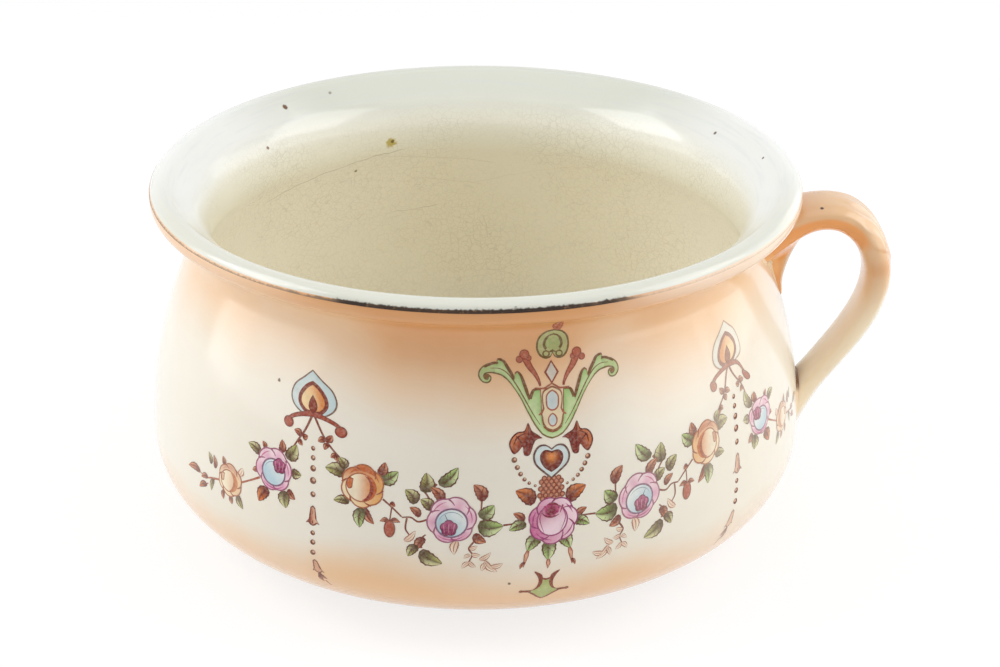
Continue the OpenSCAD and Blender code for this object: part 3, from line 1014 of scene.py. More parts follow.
def make_handle():
    """Glazed handle, and what its lutings need: the two joint lines and the handle's skin."""
    bm = clay_handle()
    bm.normal_update()
    places = [handle_place(vert.co / MM) for vert in bm.verts]
    moves = [vert.normal * leaf_height(*place) * MM for vert, place in zip(bm.verts, places)]
    for vert, move in zip(bm.verts, moves):
        vert.co += move
    heights = [height_over_bowl(vert.co / MM) for vert in bm.verts]
    lines = joint_lines(bm, heights)
    upper = next(line for line in lines if line[0].z > BETWEEN_JOINTS_Z)
    lower = next(line for line in lines if line[0].z <= BETWEEN_JOINTS_Z)
    under, root, groove, pale = [bm.verts.layers.float.new(name) for name in HANDLE_ZONES]
    buried = []
    for vert, (u, across, out), height in zip(bm.verts, places, heights):
        cover = leaf_cover(u, across, out)
        ribs = cover * leaf_ribs(u, across, out)
        z = vert.co.z / MM
        tongue = ease((-out - 1.1) / 0.5) if u < 0.6 else 0.0
        climb = min(1.0, max(0.1, (z - TONGUE_TIP_Z) / (TONGUE_TOP_Z - TONGUE_TIP_Z)))
        web = tongue * ease((height / (TONGUE_T * climb ** TONGUE_CURVE) - 0.2) / 0.6)
        low = tongue * (1 - ease((z - 106) / 6))
        top_limb = 1 - ease((u - 0.52) / 0.3)
        # Painted shade on the underside of the top limb.
        vert[under] = ease((0.62 - out) / 0.8) * top_limb * (1 - low * (0.3 + 0.5 * web))
        by_bowl = (1 - ease((height - 1.0) / 6.0)) * (1 - ease(u - 0.5))
        vert[root] = by_bowl * ease((z - 88) / 8) * (1 - low * web)
        # Painted shade at the tip of the moulded leaf.
        tip_shade = 0.6 * math.exp(-(((u - 0.89) / 0.07) ** 2)) * (1 - cover) * ease((out + 0.9) / 0.5)
        vert[groove] = min(1.0, 3 * cover * (1 - cover) * ease((u - 0.6) / 0.2) + tip_shade)
        # Painted highlights: the outer and inner long edges, the leaf's ribs and the tongue's web.
        outer = ease((out - 0.1) / 0.75) * ease((u - 0.93) / 0.3)
        inner = 0.6 * ease((-out - 0.3) / 0.5) * ease((u - 0.98) / 0.3)
        vert[pale] = min(1.0, outer + inner + 0.35 * ribs + 0.15 * low * web)
        if height < -TRIM_DEPTH:
            buried.append(vert)
    bmesh.ops.delete(bm, geom=buried, context="VERTS")
    bmesh.ops.holes_fill(bm, edges=[e for e in bm.edges if e.is_boundary])
    bmesh.ops.recalc_face_normals(bm, faces=bm.faces)
    for face in bm.faces:
        face.smooth = True
    skin = BVHTree.FromBMesh(bm)
    handle = cast(bm, "handle_glazed")
    handle.data.materials.append(TAN)
    finish_piece(handle, "tan_glaze", "handle")
    return upper, lower, skin


def even_loop(line, count):
    """Points at even steps along a closed line."""
    closed = line + line[:1]
    steps = [(b - a).length for a, b in zip(closed, closed[1:])]
    spacing = sum(steps) / count
    points = []
    passed = 0.0
    for a, b, step in zip(closed, closed[1:], steps):
        while len(points) < count and len(points) * spacing <= passed + step:
            points.append(a.lerp(b, (len(points) * spacing - passed) / step if step else 0.0))
        passed += step
    return points


def evened(values, turns):
    """Closed row of numbers or points with its small steps smoothed out."""
    for _ in range(turns):
        beside = zip(values[-1:] + values[:-1], values, values[1:] + values[:1])
        values = [(before + value * 2 + after) / 4 for before, value, after in beside]
    return values


def make_luting(name, node_name, joint, skin, spread, darkened_top, sides=160):
    """Fillet of slip where the handle meets the bowl, darker brown along its top by the share given after
    spread.
    """
    path = []
    for point in evened(even_loop(joint, sides), 14):
        path.append(Vector((math.sqrt(outside_radius(point.z) ** 2 - point.y ** 2), point.y, point.z)))
    centre = sum(path, Vector()) / sides
    top_z = max(point.z for point in path)
    frames = []
    for k, point in enumerate(path):
        normal = bowl_normal(point)
        run = (path[(k + 1) % sides] - path[k - 1]).normalized()
        frames.append((normal, run.cross(normal).normalized()))
    if sum(away.dot(point - centre) for point, (_, away) in zip(path, frames)) < 0:
        frames = [(normal, -away) for normal, away in frames]
    contacts = []
    for point, (normal, away) in zip(path, frames):
        start = (point + normal * spread + away * 5.0) * MM
        hit = skin.ray_cast(start, -away, 10 * MM)[0]
        contacts.append((hit / MM - point).dot(away) if hit else -0.3)
    bm = bmesh.new()
    top_darkening = bm.verts.layers.float.new("top_darkening")
    rows = []
    for point, (normal, away), contact in zip(path, frames, evened(contacts, 5)):
        section = [(-SLIP_SINK, contact + spread)]
        for i in range(SLIP_STEPS + 1):
            t = i / SLIP_STEPS
            section.append((0.04 + (spread - 0.04) * t * t, contact + spread * (1 - t) ** 2))
        section += [(spread - 0.3, contact - 2 * SLIP_SINK), (-SLIP_SINK, contact - 2 * SLIP_SINK)]
        row = [bm.verts.new((point + normal * n + away * a) * MM) for n, a in section]
        for vert in row:
            vert[top_darkening] = darkened_top * ease((point.z - top_z + 5.0) / 4.0)
        rows.append(row)
    count = len(rows[0])
    for a, b in zip(rows, rows[1:] + rows[:1]):
        for i in range(count):
            j = (i + 1) % count
            face = bm.faces.new((a[i], a[j], b[j], b[i]))
            face.smooth = 1 <= i <= SLIP_STEPS
    bmesh.ops.recalc_face_normals(bm, faces=bm.faces)
    luting = cast(bm, name)
    luting.data.materials.append(SLIP)
    finish_piece(luting, "slip", node_name)


# Printed swags: one flat sheet in millimetres

BROWN = paint(136, 66, 44)
RUST = paint(172, 84, 54)
PLUM = paint(160, 84, 116)
MAGENTA = paint(214, 104, 156)
FROST = paint(234, 240, 236)

# Leaves: the body, the side in the light, the shade at the foot, and the drawn lines
GREEN_LEAF = (paint(184, 212, 124), paint(216, 230, 168), paint(86, 78, 30), paint(98, 58, 32))
OLIVE_LEAF = (paint(190, 190, 110), paint(218, 214, 156), paint(88, 62, 26), paint(100, 52, 30))
BROWN_LEAF = (paint(206, 122, 82), paint(222, 152, 112), paint(116, 38, 24), paint(122, 48, 32))
RUST_LEAF = (paint(228, 124, 46), paint(222, 132, 70), paint(112, 26, 6), paint(104, 30, 12))
PALE_LEAF = (paint(246, 230, 208), paint(250, 238, 214), paint(236, 204, 178), paint(178, 112, 86))

INK_LIFT = 0.03
INK_STEP = 0.012


def curve_through(points, steps=8):
    """Smooth line through a few points."""
    ends = [points[0]] + list(points) + [points[-1]]
    line = []
    for a, b, c, d in zip(ends, ends[1:], ends[2:], ends[3:]):
        for i in range(steps):
            t = i / steps
            spot = []
            for p, q, r, s in zip(a, b, c, d):
                bend = 2 * p - 5 * q + 4 * r - s + t * (3 * (q - r) + s - p)
                spot.append(q + 0.5 * t * (r - p + t * bend))
            line.append(tuple(spot))
    return line + [tuple(points[-1])]


def round_outline(cx, cy, rx, ry, count=28):
    angles = [2 * math.pi * i / count for i in range(count)]
    return [(cx + rx * math.cos(a), cy + ry * math.sin(a)) for a in angles]


def arc_line(cx, cy, rx, ry, start, end, count=12):
    """Points on part of an oval, with angles in degrees."""
    angles = [math.radians(mix(start, end, i / count)) for i in range(count + 1)]
    return [(cx + rx * math.cos(a), cy + ry * math.sin(a)) for a in angles]


def scalloped(cx, cy, radius, petals, turn, depth=0.13):
    """Outline of an open rose, with a notch between each two petals."""
    count = petals * 8
    outline = []
    for i in range(count):
        a = 2 * math.pi * i / count
        r = radius * (1 - depth + depth * abs(math.sin(petals * (a - turn) / 2)) ** 0.6)
        outline.append((cx + r * math.cos(a), cy + r * math.sin(a)))
    return outline


def upright(half, steps=4, axis=0.0):
    """Outline that is the same on both sides of an upright axis, from the points of its right side."""
    side = curve_through(half, steps)
    return [(axis + a, b) for a, b in side] + [(axis - a, b) for a, b in side[::-1][1:-1]]


def flat(colour):
    """One colour all over a shape."""
    return lambda x, y, share: colour


def to_rim(middle, rim, strength=1.0):
    """Colour that goes over from the middle of a shape to its rim."""
    return lambda x, y, share: blend(middle, rim, share * strength)


class Sheet:
    """Flat print: points with a height and a colour, the faces between them, and the beads."""

    def __init__(self):
        self.points = []
        self.colours = []
        self.faces = []
        self.beads = []
        self.side = 1
        self.tilt = 0.0

    def laid(self, x, y):
        """Place on the pot of a point of one half. The halves were laid by hand and do not match quite."""
        slope = self.tilt * (0.55 + 0.45 * ease((y - 28) / 10))
        nudge = 5.0 * self.tilt * ease((y - 40) / 6)
        if self.side < 0:
            x += 1.2 * ease((x - 66) / 10) + 1.2 * ease((x - 100) / 12)
            return nudge - x, y + slope * x
        near_drop = ease((96 - x) / 8) * ease((x - 62) / 8)
        slip = 0.8 * ease((x - 14) / 18) + 0.05 * min(31.0, max(0.0, x - 32)) + 0.018 * max(0.0, x - 63)
        slip += near_drop * (0.08 * min(22.0, max(0.0, y - 15)) + 2.0 * ease((y - 38) / 9))
        y = 26.2 + (y - 26.2) * (1 - 0.15 * ease((x - 84) / 8))
        y -= 2.6 * ease((x - 84) / 12) * ease((50 - y) / 8)
        return nudge + x - slip, y - slope * x

    def fainter_and_painted_light(self, x, colour):
        """The ends of the swags are printed fainter than the middle; the right half is painted paler still,
        as painted light.
        """
        faint = 0.12 * ease((abs(x) - 100) / 12)
        if self.side > 0:
            faint += 0.12 * ease((x - 18) / 14) + 0.18 * ease((x - 58) / 10) * ease((94 - x) / 8)
            faint += 0.08 * ease((x - 88) / 8)
        return blend(colour, paint(250, 238, 218), faint)

    def put(self, x, y, layer, colour):
        px, py = self.laid(x, y)
        self.points.append((px * MM, py * MM, (INK_LIFT + INK_STEP * layer) * MM))
        self.colours.append(self.fainter_and_painted_light(x, colour))

    def cells(self, first, rows, width):
        """Faces of a grid of points that starts at the point first."""
        for i in range(rows - 1):
            for j in range(width - 1):
                k = first + i * width + j
                self.faces.append((k, k + 1, k + width + 1, k + width))

    def strip(self, left, right, shares, colour_at, layer):
        """Faces between a left and a right edge. colour_at takes the shares along and across."""
        first = len(self.points)
        last = len(left) - 1
        for i, (a, b) in enumerate(zip(left, right)):
            for v in shares:
                self.put(mix(a[0], b[0], v), mix(a[1], b[1], v), layer, colour_at(i / last, v))
        self.cells(first, last + 1, len(shares))

    def band(self, left, right, line_w, left_line, right_line, colour_at, layer):
        """Shape between two edges of any form, with a drawn line of even width along each of them."""
        first = len(self.points)
        last = len(left) - 1
        for i, (a, b) in enumerate(zip(left, right)):
            edge = min(0.4, line_w / max(0.1, math.dist(a, b)))
            for v in (0.0, edge, edge + 0.02, 0.35, 0.65, 0.98 - edge, 1 - edge, 1.0):
                v = clamped(v)
                colour = colour_at(i / last, v)
                if v <= edge:
                    colour = left_line
                elif v >= 1 - edge:
                    colour = right_line
                self.put(mix(a[0], b[0], v), mix(a[1], b[1], v), layer, colour)
        self.cells(first, last + 1, 8)

    def edges_of(self, line, widths):
        """Left and right edge of a brush stroke. widths are given at even places along it."""
        left, right = [], []
        last = len(line) - 1
        for i, (x, y) in enumerate(line):
            ahead = line[min(i + 1, last)]
            behind = line[max(i - 1, 0)]
            dx, dy = ahead[0] - behind[0], ahead[1] - behind[1]
            size = math.hypot(dx, dy) or 1.0
            spot = i / last * (len(widths) - 1)
            k = min(int(spot), len(widths) - 2)
            half = max(0.03, mix(widths[k], widths[k + 1], spot - k) / 2)
            left.append((x - dy / size * half, y + dx / size * half))
            right.append((x + dy / size * half, y - dx / size * half))
        return left, right

    def ribbon(self, line, widths, colour, layer, line_colour=None, line_w=0.35):
        """Stroke of a brush along a line, plain or with a drawn line along both edges."""
        left, right = self.edges_of(line, widths)
        if line_colour is None:
            self.strip(left, right, (0, 1), lambda s, v: colour, layer)
        else:
            self.band(left, right, line_w, line_colour, line_colour, lambda s, v: colour, layer)

    def stroke(self, spots, steps, widths, colour, layer, line_colour=None, line_w=0.35):
        """Ribbon along a smooth line through a few spots."""
        self.ribbon(curve_through(spots, steps), widths, colour, layer, line_colour, line_w)

    def stem(self, x, y, spots, steps, widths, colour):
        """Thin stroke under everything else. Its spots are counted from x and y."""
        self.stroke([(x + a, y + b) for a, b in spots], steps, widths, colour, 0)

    def blob(self, outline, line_w, line_colour, colour_at, layer, centre=None):
        """Filled shape with a drawn outline. The outline is seen whole from the centre."""
        count = len(outline)
        cx = centre[0] if centre else sum(p[0] for p in outline) / count
        cy = centre[1] if centre else sum(p[1] for p in outline) / count
        first = len(self.points)
        self.put(cx, cy, layer, colour_at(cx, cy, 0.0))
        for x, y in outline:
            far = math.hypot(x - cx, y - cy)
            inner = max(0.25, 1 - line_w / far)
            for share in (0.36 * inner, 0.7 * inner, inner - 0.02, inner, 1.0):
                px, py = mix(cx, x, share), mix(cy, y, share)
                self.put(px, py, layer, line_colour if share >= inner else colour_at(px, py, share))
        for i in range(count):
            a = first + 1 + i * 5
            b = first + 1 + (i + 1) % count * 5
            self.faces.append((first, a, b))
            for j in range(4):
                self.faces.append((a + j, a + j + 1, b + j + 1, b + j))

    def leaf(self, base_x, base_y, tip_x, tip_y, width, paints, layer, bow=0.1):
        """Rose leaf with a toothed edge, a vein and side veins: dark at its foot, light towards its tip."""
        body, light, shade, line = paints
        dx, dy = tip_x - base_x, tip_y - base_y
        size = math.hypot(dx, dy)
        left, right = [], []
        steps = 14
        for i in range(steps + 1):
            s = i / steps
            swing = bow * math.sin(math.pi * s)
            x = base_x + dx * s - dy * swing
            y = base_y + dy * s + dx * swing
            half = max(0.06, width / 2 * s ** 0.5 * (1 - s) ** 0.8 / 0.42)
            tooth = 0.1 * half if i % 3 == 1 else 0.0
            left.append((x - dy / size * (half + tooth), y + dx / size * (half + tooth)))
            right.append((x + dy / size * (half + tooth), y - dx / size * (half + tooth)))
        edge = min(0.15, 0.45 / width)
        vein = min(0.05, 0.13 / width)

        def colour_at(s, v):
            if v <= edge or v >= 1 - edge or s > 0.95:
                return line
            if abs(v - 0.5) <= vein and s < 0.85:
                return line
            if v < 0.5:
                return blend(shade, light, ease(1.7 * s - 0.15) * ease(1.6 - 2.6 * v))
            return blend(shade, body, ease(1.5 * s - 0.2) * ease((v - 0.45) * 2.7))

        middle = (0.5 - vein - 0.03, 0.5 - vein, 0.5 + vein, 0.5 + vein + 0.03)
        shares = (0, edge, edge + 0.03, 0.32, *middle, 0.68, 0.97 - edge, 1 - edge, 1)
        self.strip(left, right, shares, colour_at, layer)
        if size > 4.0 and width > 3.0:
            for i, rim in ((6, left), (8, right), (9, left), (10, right)):
                x = mix(left[i - 3][0], right[i - 3][0], 0.5)
                y = mix(left[i - 3][1], right[i - 3][1], 0.5)
                end = (mix(x, rim[i][0], 0.8), mix(y, rim[i][1], 0.8))
                self.ribbon([(x, y), end], (0.3, 0.12), line, layer + 0.3)

    def spray(self, x, y, leaves):
        """Leaves round the rose at x and y, each given by its foot, its tip, its width and its paints."""
        for k, (bx, by, tx, ty, width, paints) in enumerate(leaves):
            self.leaf(x + bx, y + by, x + tx, y + ty, width, paints, 1 + k % 3)

    def bead(self, x, y, radius, colour, layer):
        px, py = self.laid(x, y)
        self.beads.append(((px, py, INK_LIFT + INK_STEP * layer), radius, colour))

    def shaded_bead(self, x, y, radius):
        self.bead(x, y, radius, paint(126, 68, 46), 2)
        self.bead(x - 0.25 * radius, y + 0.3 * radius, 0.5 * radius, paint(222, 178, 146), 3)


def petal_lines(sheet, cx, cy, inner, outer, petals, turn, colour, layer):
    """Short curved lines from the heart of a rose to the notches between its petals."""
    for i in range(petals):
        a = turn + 2 * math.pi * i / petals
        spots = []
        for share in (0.0, 0.35, 0.7, 1.0):
            r = mix(inner, outer, share)
            swing = a + 0.35 * (1 - share)
            spots.append((cx + r * math.cos(swing), cy + r * math.sin(swing)))
        sheet.stroke(spots, 3, (0.25, 0.5, 0.7), colour, layer)


def pink_blue_rose(sheet, cx, cy, radius, heart_x, heart_y):
    """Pale pink rose round a sky-blue cup, with a crimson heart low in it."""
    turn = 0.35
    cup_y = cy - 0.13 * radius
    hx, hy = cx + heart_x * radius, cy + heart_y * radius

    def petal(x, y, share):
        a = math.atan2(y - cy, x - cx)
        glow = 0.3 + 0.75 * (share - 0.5) + 0.22 * math.sin(6 * (a - turn) + 1.0) + 0.25 * (y - cy) / radius
        return blend(paint(226, 150, 184), paint(250, 228, 232), clamped(glow))

    def cup(x, y, share):
        glow = 0.3 + (cx - x + y - cup_y) / radius * 0.8
        return blend(paint(188, 214, 224), paint(242, 245, 240), clamped(glow))

    def crimson(x, y, share):
        return blend(paint(140, 34, 84), MAGENTA, 0.5 * share * (y > hy))

    sheet.blob(scalloped(cx, cy, radius, 6, turn), 0.42, PLUM, petal, 4)
    petal_lines(sheet, cx, cy, 0.62 * radius, 0.9 * radius, 6, turn, PLUM, 5)
    for wide, high, start, end, width, colour in (
        (0.8, 0.78, 20, 75, 0.5, paint(206, 110, 150)),
        (0.8, 0.78, 130, 190, 0.5, paint(206, 110, 150)),
        (0.84, 0.84, 230, 310, 0.7, paint(198, 100, 146)),
    ):
        fold = arc_line(cx, cy, wide * radius, high * radius, start, end)
        sheet.ribbon(fold, (0.1, width, 0.1), colour, 5)
    sheet.blob(round_outline(cx, cup_y, 0.66 * radius, 0.63 * radius), 0.55, paint(132, 92, 122), cup, 6)
    shine = arc_line(cx, cup_y, 0.5 * radius, 0.46 * radius, 20, 150)
    sheet.ribbon(shine, (0.1, 0.3, 0.1), paint(146, 158, 176), 7)
    sheet.blob(scalloped(hx, hy, 0.36 * radius, 5, 0.9, 0.2), 0.3, paint(104, 30, 66), crimson, 8)
    for sway in (-0.16, 0.0, 0.16):
        spots = [(hx + sway * radius, hy - 0.2 * radius), (hx + 1.4 * sway * radius, hy + 0.16 * radius)]
        sheet.ribbon(spots, (0.1, 0.4), paint(214, 130, 166), 9)
    stalk = [(hx, hy + 0.2 * radius), (hx + 0.16 * radius, cup_y + 0.36 * radius)]
    sheet.ribbon(stalk, (0.45, 0.12), paint(84, 44, 84), 8)


def orange_rose(sheet, cx, cy, radius, wash=0.0):
    """Peach and orange rose: a pale cup between a curl and a deep red-brown fold. wash makes it paler."""
    turn = 0.1
    cup_x, cup_y = cx + 0.1 * radius, cy - 0.06 * radius
    milk = paint(252, 238, 208)

    def petal(x, y, share):
        wide, high = (x - cx) / radius, (y - cy) / radius
        colour = blend(paint(250, 226, 184), paint(232, 168, 90), ease(0.45 - 0.6 * wide))
        colour = blend(colour, paint(208, 116, 58), ease(1.1 * high + 0.15 * wide))
        return blend(colour, milk, wash)

    def cup(x, y, share):
        colour = blend(paint(251, 236, 206), paint(222, 132, 56), ease(0.38 + (cup_x - x) / radius * 1.05))
        return blend(colour, milk, wash)

    sheet.blob(scalloped(cx, cy, radius, 6, turn, 0.12), 0.42, paint(172, 92, 50), petal, 4)
    petal_lines(sheet, cx, cy, 0.68 * radius, 0.92 * radius, 6, turn, paint(160, 76, 38), 5)
    crest = arc_line(cx, cy, 0.78 * radius, 0.76 * radius, 40, 160)
    sheet.ribbon(crest, (0.1, 1.1, 1.5, 1.1, 0.1), blend(paint(196, 100, 46), milk, 0.7 * wash), 5)
    outline = round_outline(cup_x, cup_y, 0.68 * radius, 0.66 * radius)
    sheet.blob(outline, 0.4, paint(172, 92, 46), cup, 6)
    fold = arc_line(cup_x, cup_y, 0.56 * radius, 0.57 * radius, 112, 262)
    sheet.ribbon(fold, (0.1, 1.3, 2.1, 1.7, 0.1), blend(paint(148, 48, 22), paint(222, 140, 70), wash), 7)
    fold = arc_line(cup_x, cup_y, 0.66 * radius, 0.64 * radius, 100, 250)
    sheet.ribbon(fold, (0.1, 0.9, 1.2, 0.8, 0.1), blend(paint(196, 92, 36), paint(226, 150, 80), wash), 7.5)
    curl = [(0.42, 0.3), (0.62, 0.34), (0.74, 0.12), (0.66, -0.16), (0.5, -0.12), (0.46, 0.08)]
    curl = curve_through([(cx + radius * a, cy + radius * b) for a, b in curl + curl[:1]], 3)[:-1]
    sheet.blob(curl, 0.35, paint(150, 60, 28), flat(blend(paint(206, 108, 50), milk, wash)), 8)


def pink_rose(sheet, cx, cy, radius):
    """Full pink rose in the middle of the swags: a pale cup, crimson at its mouth, between folded petals."""
    turn = 0.6
    line = paint(150, 52, 104)
    crimson = paint(132, 16, 52)
    cup_x, cup_y = cx - 0.04 * radius, cy + 0.02 * radius
    mouth_x, mouth_y = cx - 0.08 * radius, cy + 0.46 * radius

    def petal(x, y, share):
        glow = 0.5 + 0.55 * (x - cx) / radius + 0.2 * (y - cy) / radius + 0.3 * (share - 0.7)
        return blend(paint(206, 94, 150), paint(250, 220, 228), clamped(glow))

    def cup(x, y, share):
        glow = 0.72 - 0.75 * (y - cy) / radius + 0.35 * (x - cx) / radius
        return blend(paint(190, 66, 118), paint(247, 218, 228), ease(glow))

    def deep(x, y, share):
        return blend(crimson, paint(196, 78, 128), ease(1.3 * share - 0.3))

    sheet.blob(scalloped(cx, cy, radius, 7, turn), 0.42, line, petal, 4)
    petal_lines(sheet, cx, cy, 0.6 * radius, 0.9 * radius, 7, turn, line, 5)
    for start, end in ((-60, -10), (20, 55), (150, 200), (215, 265)):
        fold = arc_line(cx, cy, 0.8 * radius, 0.8 * radius, start, end)
        sheet.ribbon(fold, (0.1, 0.6, 0.1), paint(176, 64, 126), 5)
    sheet.blob(round_outline(cup_x, cup_y, 0.62 * radius, 0.66 * radius), 0.42, paint(156, 58, 110), cup, 6)
    mouth = scalloped(mouth_x, mouth_y, 0.3 * radius, 6, 0.2, 0.2)
    sheet.blob(mouth, 0.2, paint(196, 84, 132), deep, 6.5)
    rings = ((0.12, 150, 400, 1.0), (0.24, 190, 330, 1.1), (0.32, 20, 130, 0.9), (0.4, 200, 320, 0.8))
    for size, start, end, width in rings:
        ring = arc_line(mouth_x, mouth_y, size * radius, 0.75 * size * radius, start, end)
        sheet.ribbon(ring, (0.15, width, 0.15), crimson, 7)
    for sway in (-0.36, -0.18, 0.04, 0.22, 0.36):
        spots = [(cx + sway * radius, cy + 0.62 * radius), (cx + 0.7 * sway * radius, cy + 0.3 * radius)]
        sheet.ribbon(spots, (0.7, 0.15), paint(168, 40, 92), 7)
    for sway in (-0.34, 0.36):
        spots = [(0.9 * sway, 0.56), (1.45 * sway, 0.1), (0.9 * sway, -0.5)]
        spots = [(cup_x + a * radius, cup_y + b * radius) for a, b in spots]
        sheet.stroke(spots, 4, (0.1, 0.4, 0.1), paint(170, 70, 120), 7)


def swag(sheet):
    """One half of the print: four roses with their leaves, and the drop. X grows away from the middle."""
    rose_x, rose_y = 32.6, 17.2
    pink_blue_rose(sheet, rose_x, rose_y, 8.4, 0.1, -0.34)
    leaves = [
        (8.9, 9.3, 8.5, 16.1, 5.0, OLIVE_LEAF),
        (4.2, 12.0, -2.0, 18.0, 4.6, GREEN_LEAF),
        (2.8, 6.3, 6.9, 11.3, 3.6, BROWN_LEAF),
        (11.5, 5.6, 15.4, 10.1, 4.4, OLIVE_LEAF),
        (6.3, 3.8, 10.3, 7.0, 4.0, OLIVE_LEAF),
        (10.3, 1.0, 13.9, 4.1, 2.7, BROWN_LEAF),
        (15.5, -8.2, 11.9, -4.2, 2.2, PALE_LEAF),
        (8.9, -6.4, 11.5, -11.2, 3.2, BROWN_LEAF),
        (11.1, -9.4, 14.1, -13.6, 3.6, OLIVE_LEAF),
        (10.3, -11.6, 2.6, -15.9, 5.0, OLIVE_LEAF),
        (-1.8, -7.4, -1.2, -12.4, 3.0, PALE_LEAF),
        (-10.7, 6.6, -7.1, 12.2, 4.2, BROWN_LEAF),
        (-9.1, 0.8, -13.9, 4.8, 4.8, GREEN_LEAF),
        (-8.6, -2.2, -17.0, -2.7, 6.0, GREEN_LEAF),
        (-7.3, -5.2, -11.5, -8.2, 3.3, BROWN_LEAF),
        (-9.6, -14.6, -13.3, -12.0, 1.8, PALE_LEAF),
        (-11.2, -15.0, -15.8, -19.4, 2.2, PALE_LEAF),
        (-6.6, -12.6, -4.4, -13.8, 1.4, PALE_LEAF),
        (-6.2, -10.4, -8.8, -9.4, 1.6, PALE_LEAF),
        (-7.0, -12.4, -9.8, -12.8, 1.7, PALE_LEAF),
        (-6.2, -15.4, -4.0, -17.6, 1.8, PALE_LEAF),
        (-6.2, -15.2, -8.6, -17.2, 1.6, PALE_LEAF),
        (-12.0, -15.8, -10.6, -18.8, 1.9, PALE_LEAF),
        (-13.6, -17.4, -17.4, -16.4, 1.9, PALE_LEAF),
    ]
    sheet.spray(rose_x, rose_y, leaves)
    stems = [
        [(8.0, 0.0), (11.0, -0.9), (13.5, 0.5), (16.5, 0.3)],
        [(14.8, 0.2), (15.2, -3.6), (13.8, -5.8)],
        [(9.6, -10.4), (10.2, -7.4), (8.4, -5.4)],
        [(9.0, 9.6), (7.4, 7.2), (6.0, 3.6)],
        [(5.0, 12.4), (7.4, 9.6)],
        [(-9.8, 7.4), (-9.6, 3.0)],
        [(-8.0, -7.4), (-6.0, -10.2), (-7.2, -12.6), (-6.0, -15.6)],
        [(-17.0, -2.4), (-19.6, -2.2), (-24.2, -2.0)],
    ]
    for spots in stems:
        sheet.stem(rose_x, rose_y, spots, 5, (0.7, 0.6, 0.45), BROWN)

    rose_x, rose_y = 62.6, 26.9
    # Painted light: on the right half the rose is painted paler, where strong light falls on it.
    orange_rose(sheet, rose_x, rose_y, 7.7, 0.2 if sheet.side > 0 else 0.0)
    leaves = [
        (5.8, 3.5, 12.4, 4.5, 4.8, OLIVE_LEAF),
        (5.8, 5.2, 8.0, 8.8, 3.2, OLIVE_LEAF),
        (-5.8, 4.5, -7.8, 9.0, 3.4, BROWN_LEAF),
        (-6.2, 2.5, -12.2, 6.2, 4.6, GREEN_LEAF),
        (4.6, -5.8, 9.6, -6.2, 3.2, OLIVE_LEAF),
        (0.2, -7.4, 1.0, -14.6, 4.4, GREEN_LEAF),
        (-0.6, -7.4, -4.0, -12.8, 2.9, BROWN_LEAF),
        (-9.6, -4.4, -11.2, -5.8, 2.0, BROWN_LEAF),
    ]
    sheet.spray(rose_x, rose_y, leaves)
    stem = [(-7.0, -3.6), (-10.4, -6.4), (-13.4, -9.2)]
    sheet.stem(rose_x, rose_y, stem, 6, (0.7, 0.6, 0.5), BROWN)
    bud_x, bud_y = rose_x - 9.4, rose_y - 13.8

    def bud_red(x, y, share):
        return blend(paint(186, 92, 74), RUST, ease(0.5 + (bud_x - x) * 0.3))

    sheet.blob(round_outline(bud_x, bud_y, 2.0, 3.2, 20), 0.45, BROWN, bud_red, 3)
    sheet.leaf(bud_x, bud_y + 2.4, bud_x - 3.6, bud_y + 2.6, 1.8, BROWN_LEAF, 2, -0.2)
    sheet.leaf(bud_x, bud_y + 2.4, bud_x + 3.4, bud_y + 2.4, 1.8, BROWN_LEAF, 2, 0.2)
    sheet.ribbon([(bud_x, bud_y + 2.6), (bud_x - 0.6, bud_y + 7.4)], (0.5, 0.5), BROWN, 0)

    hanging_drop(sheet, 79.6)

    rose_x, rose_y = 95.6, 26.2
    pink_blue_rose(sheet, rose_x, rose_y, 7.8, -0.32, 0.22)
    leaves = [
        (-5.6, 5.0, -9.6, 10.5, 4.8, OLIVE_LEAF),
        (-3.2, 6.5, -3.6, 11.0, 3.0, BROWN_LEAF),
        (3.4, 6.2, 4.8, 8.6, 2.0, BROWN_LEAF),
        (5.6, 4.0, 10.8, 6.3, 3.6, OLIVE_LEAF),
        (-7.4, 1.0, -11.4, 0.5, 3.5, OLIVE_LEAF),
        (-4.8, -6.4, -5.2, -12.5, 4.8, OLIVE_LEAF),
        (-6.0, -5.6, -9.0, -8.6, 2.8, BROWN_LEAF),
        (2.4, -7.4, 6.4, -13.0, 4.6, RUST_LEAF),
        (6.6, -2.0, 9.0, -2.6, 2.0, BROWN_LEAF),
    ]
    sheet.spray(rose_x, rose_y, leaves)
    stem = [(6.0, -4.4), (10.4, -7.0), (14.6, -9.4)]
    sheet.stem(rose_x, rose_y, stem, 6, (0.8, 0.6, 0.8), RUST)

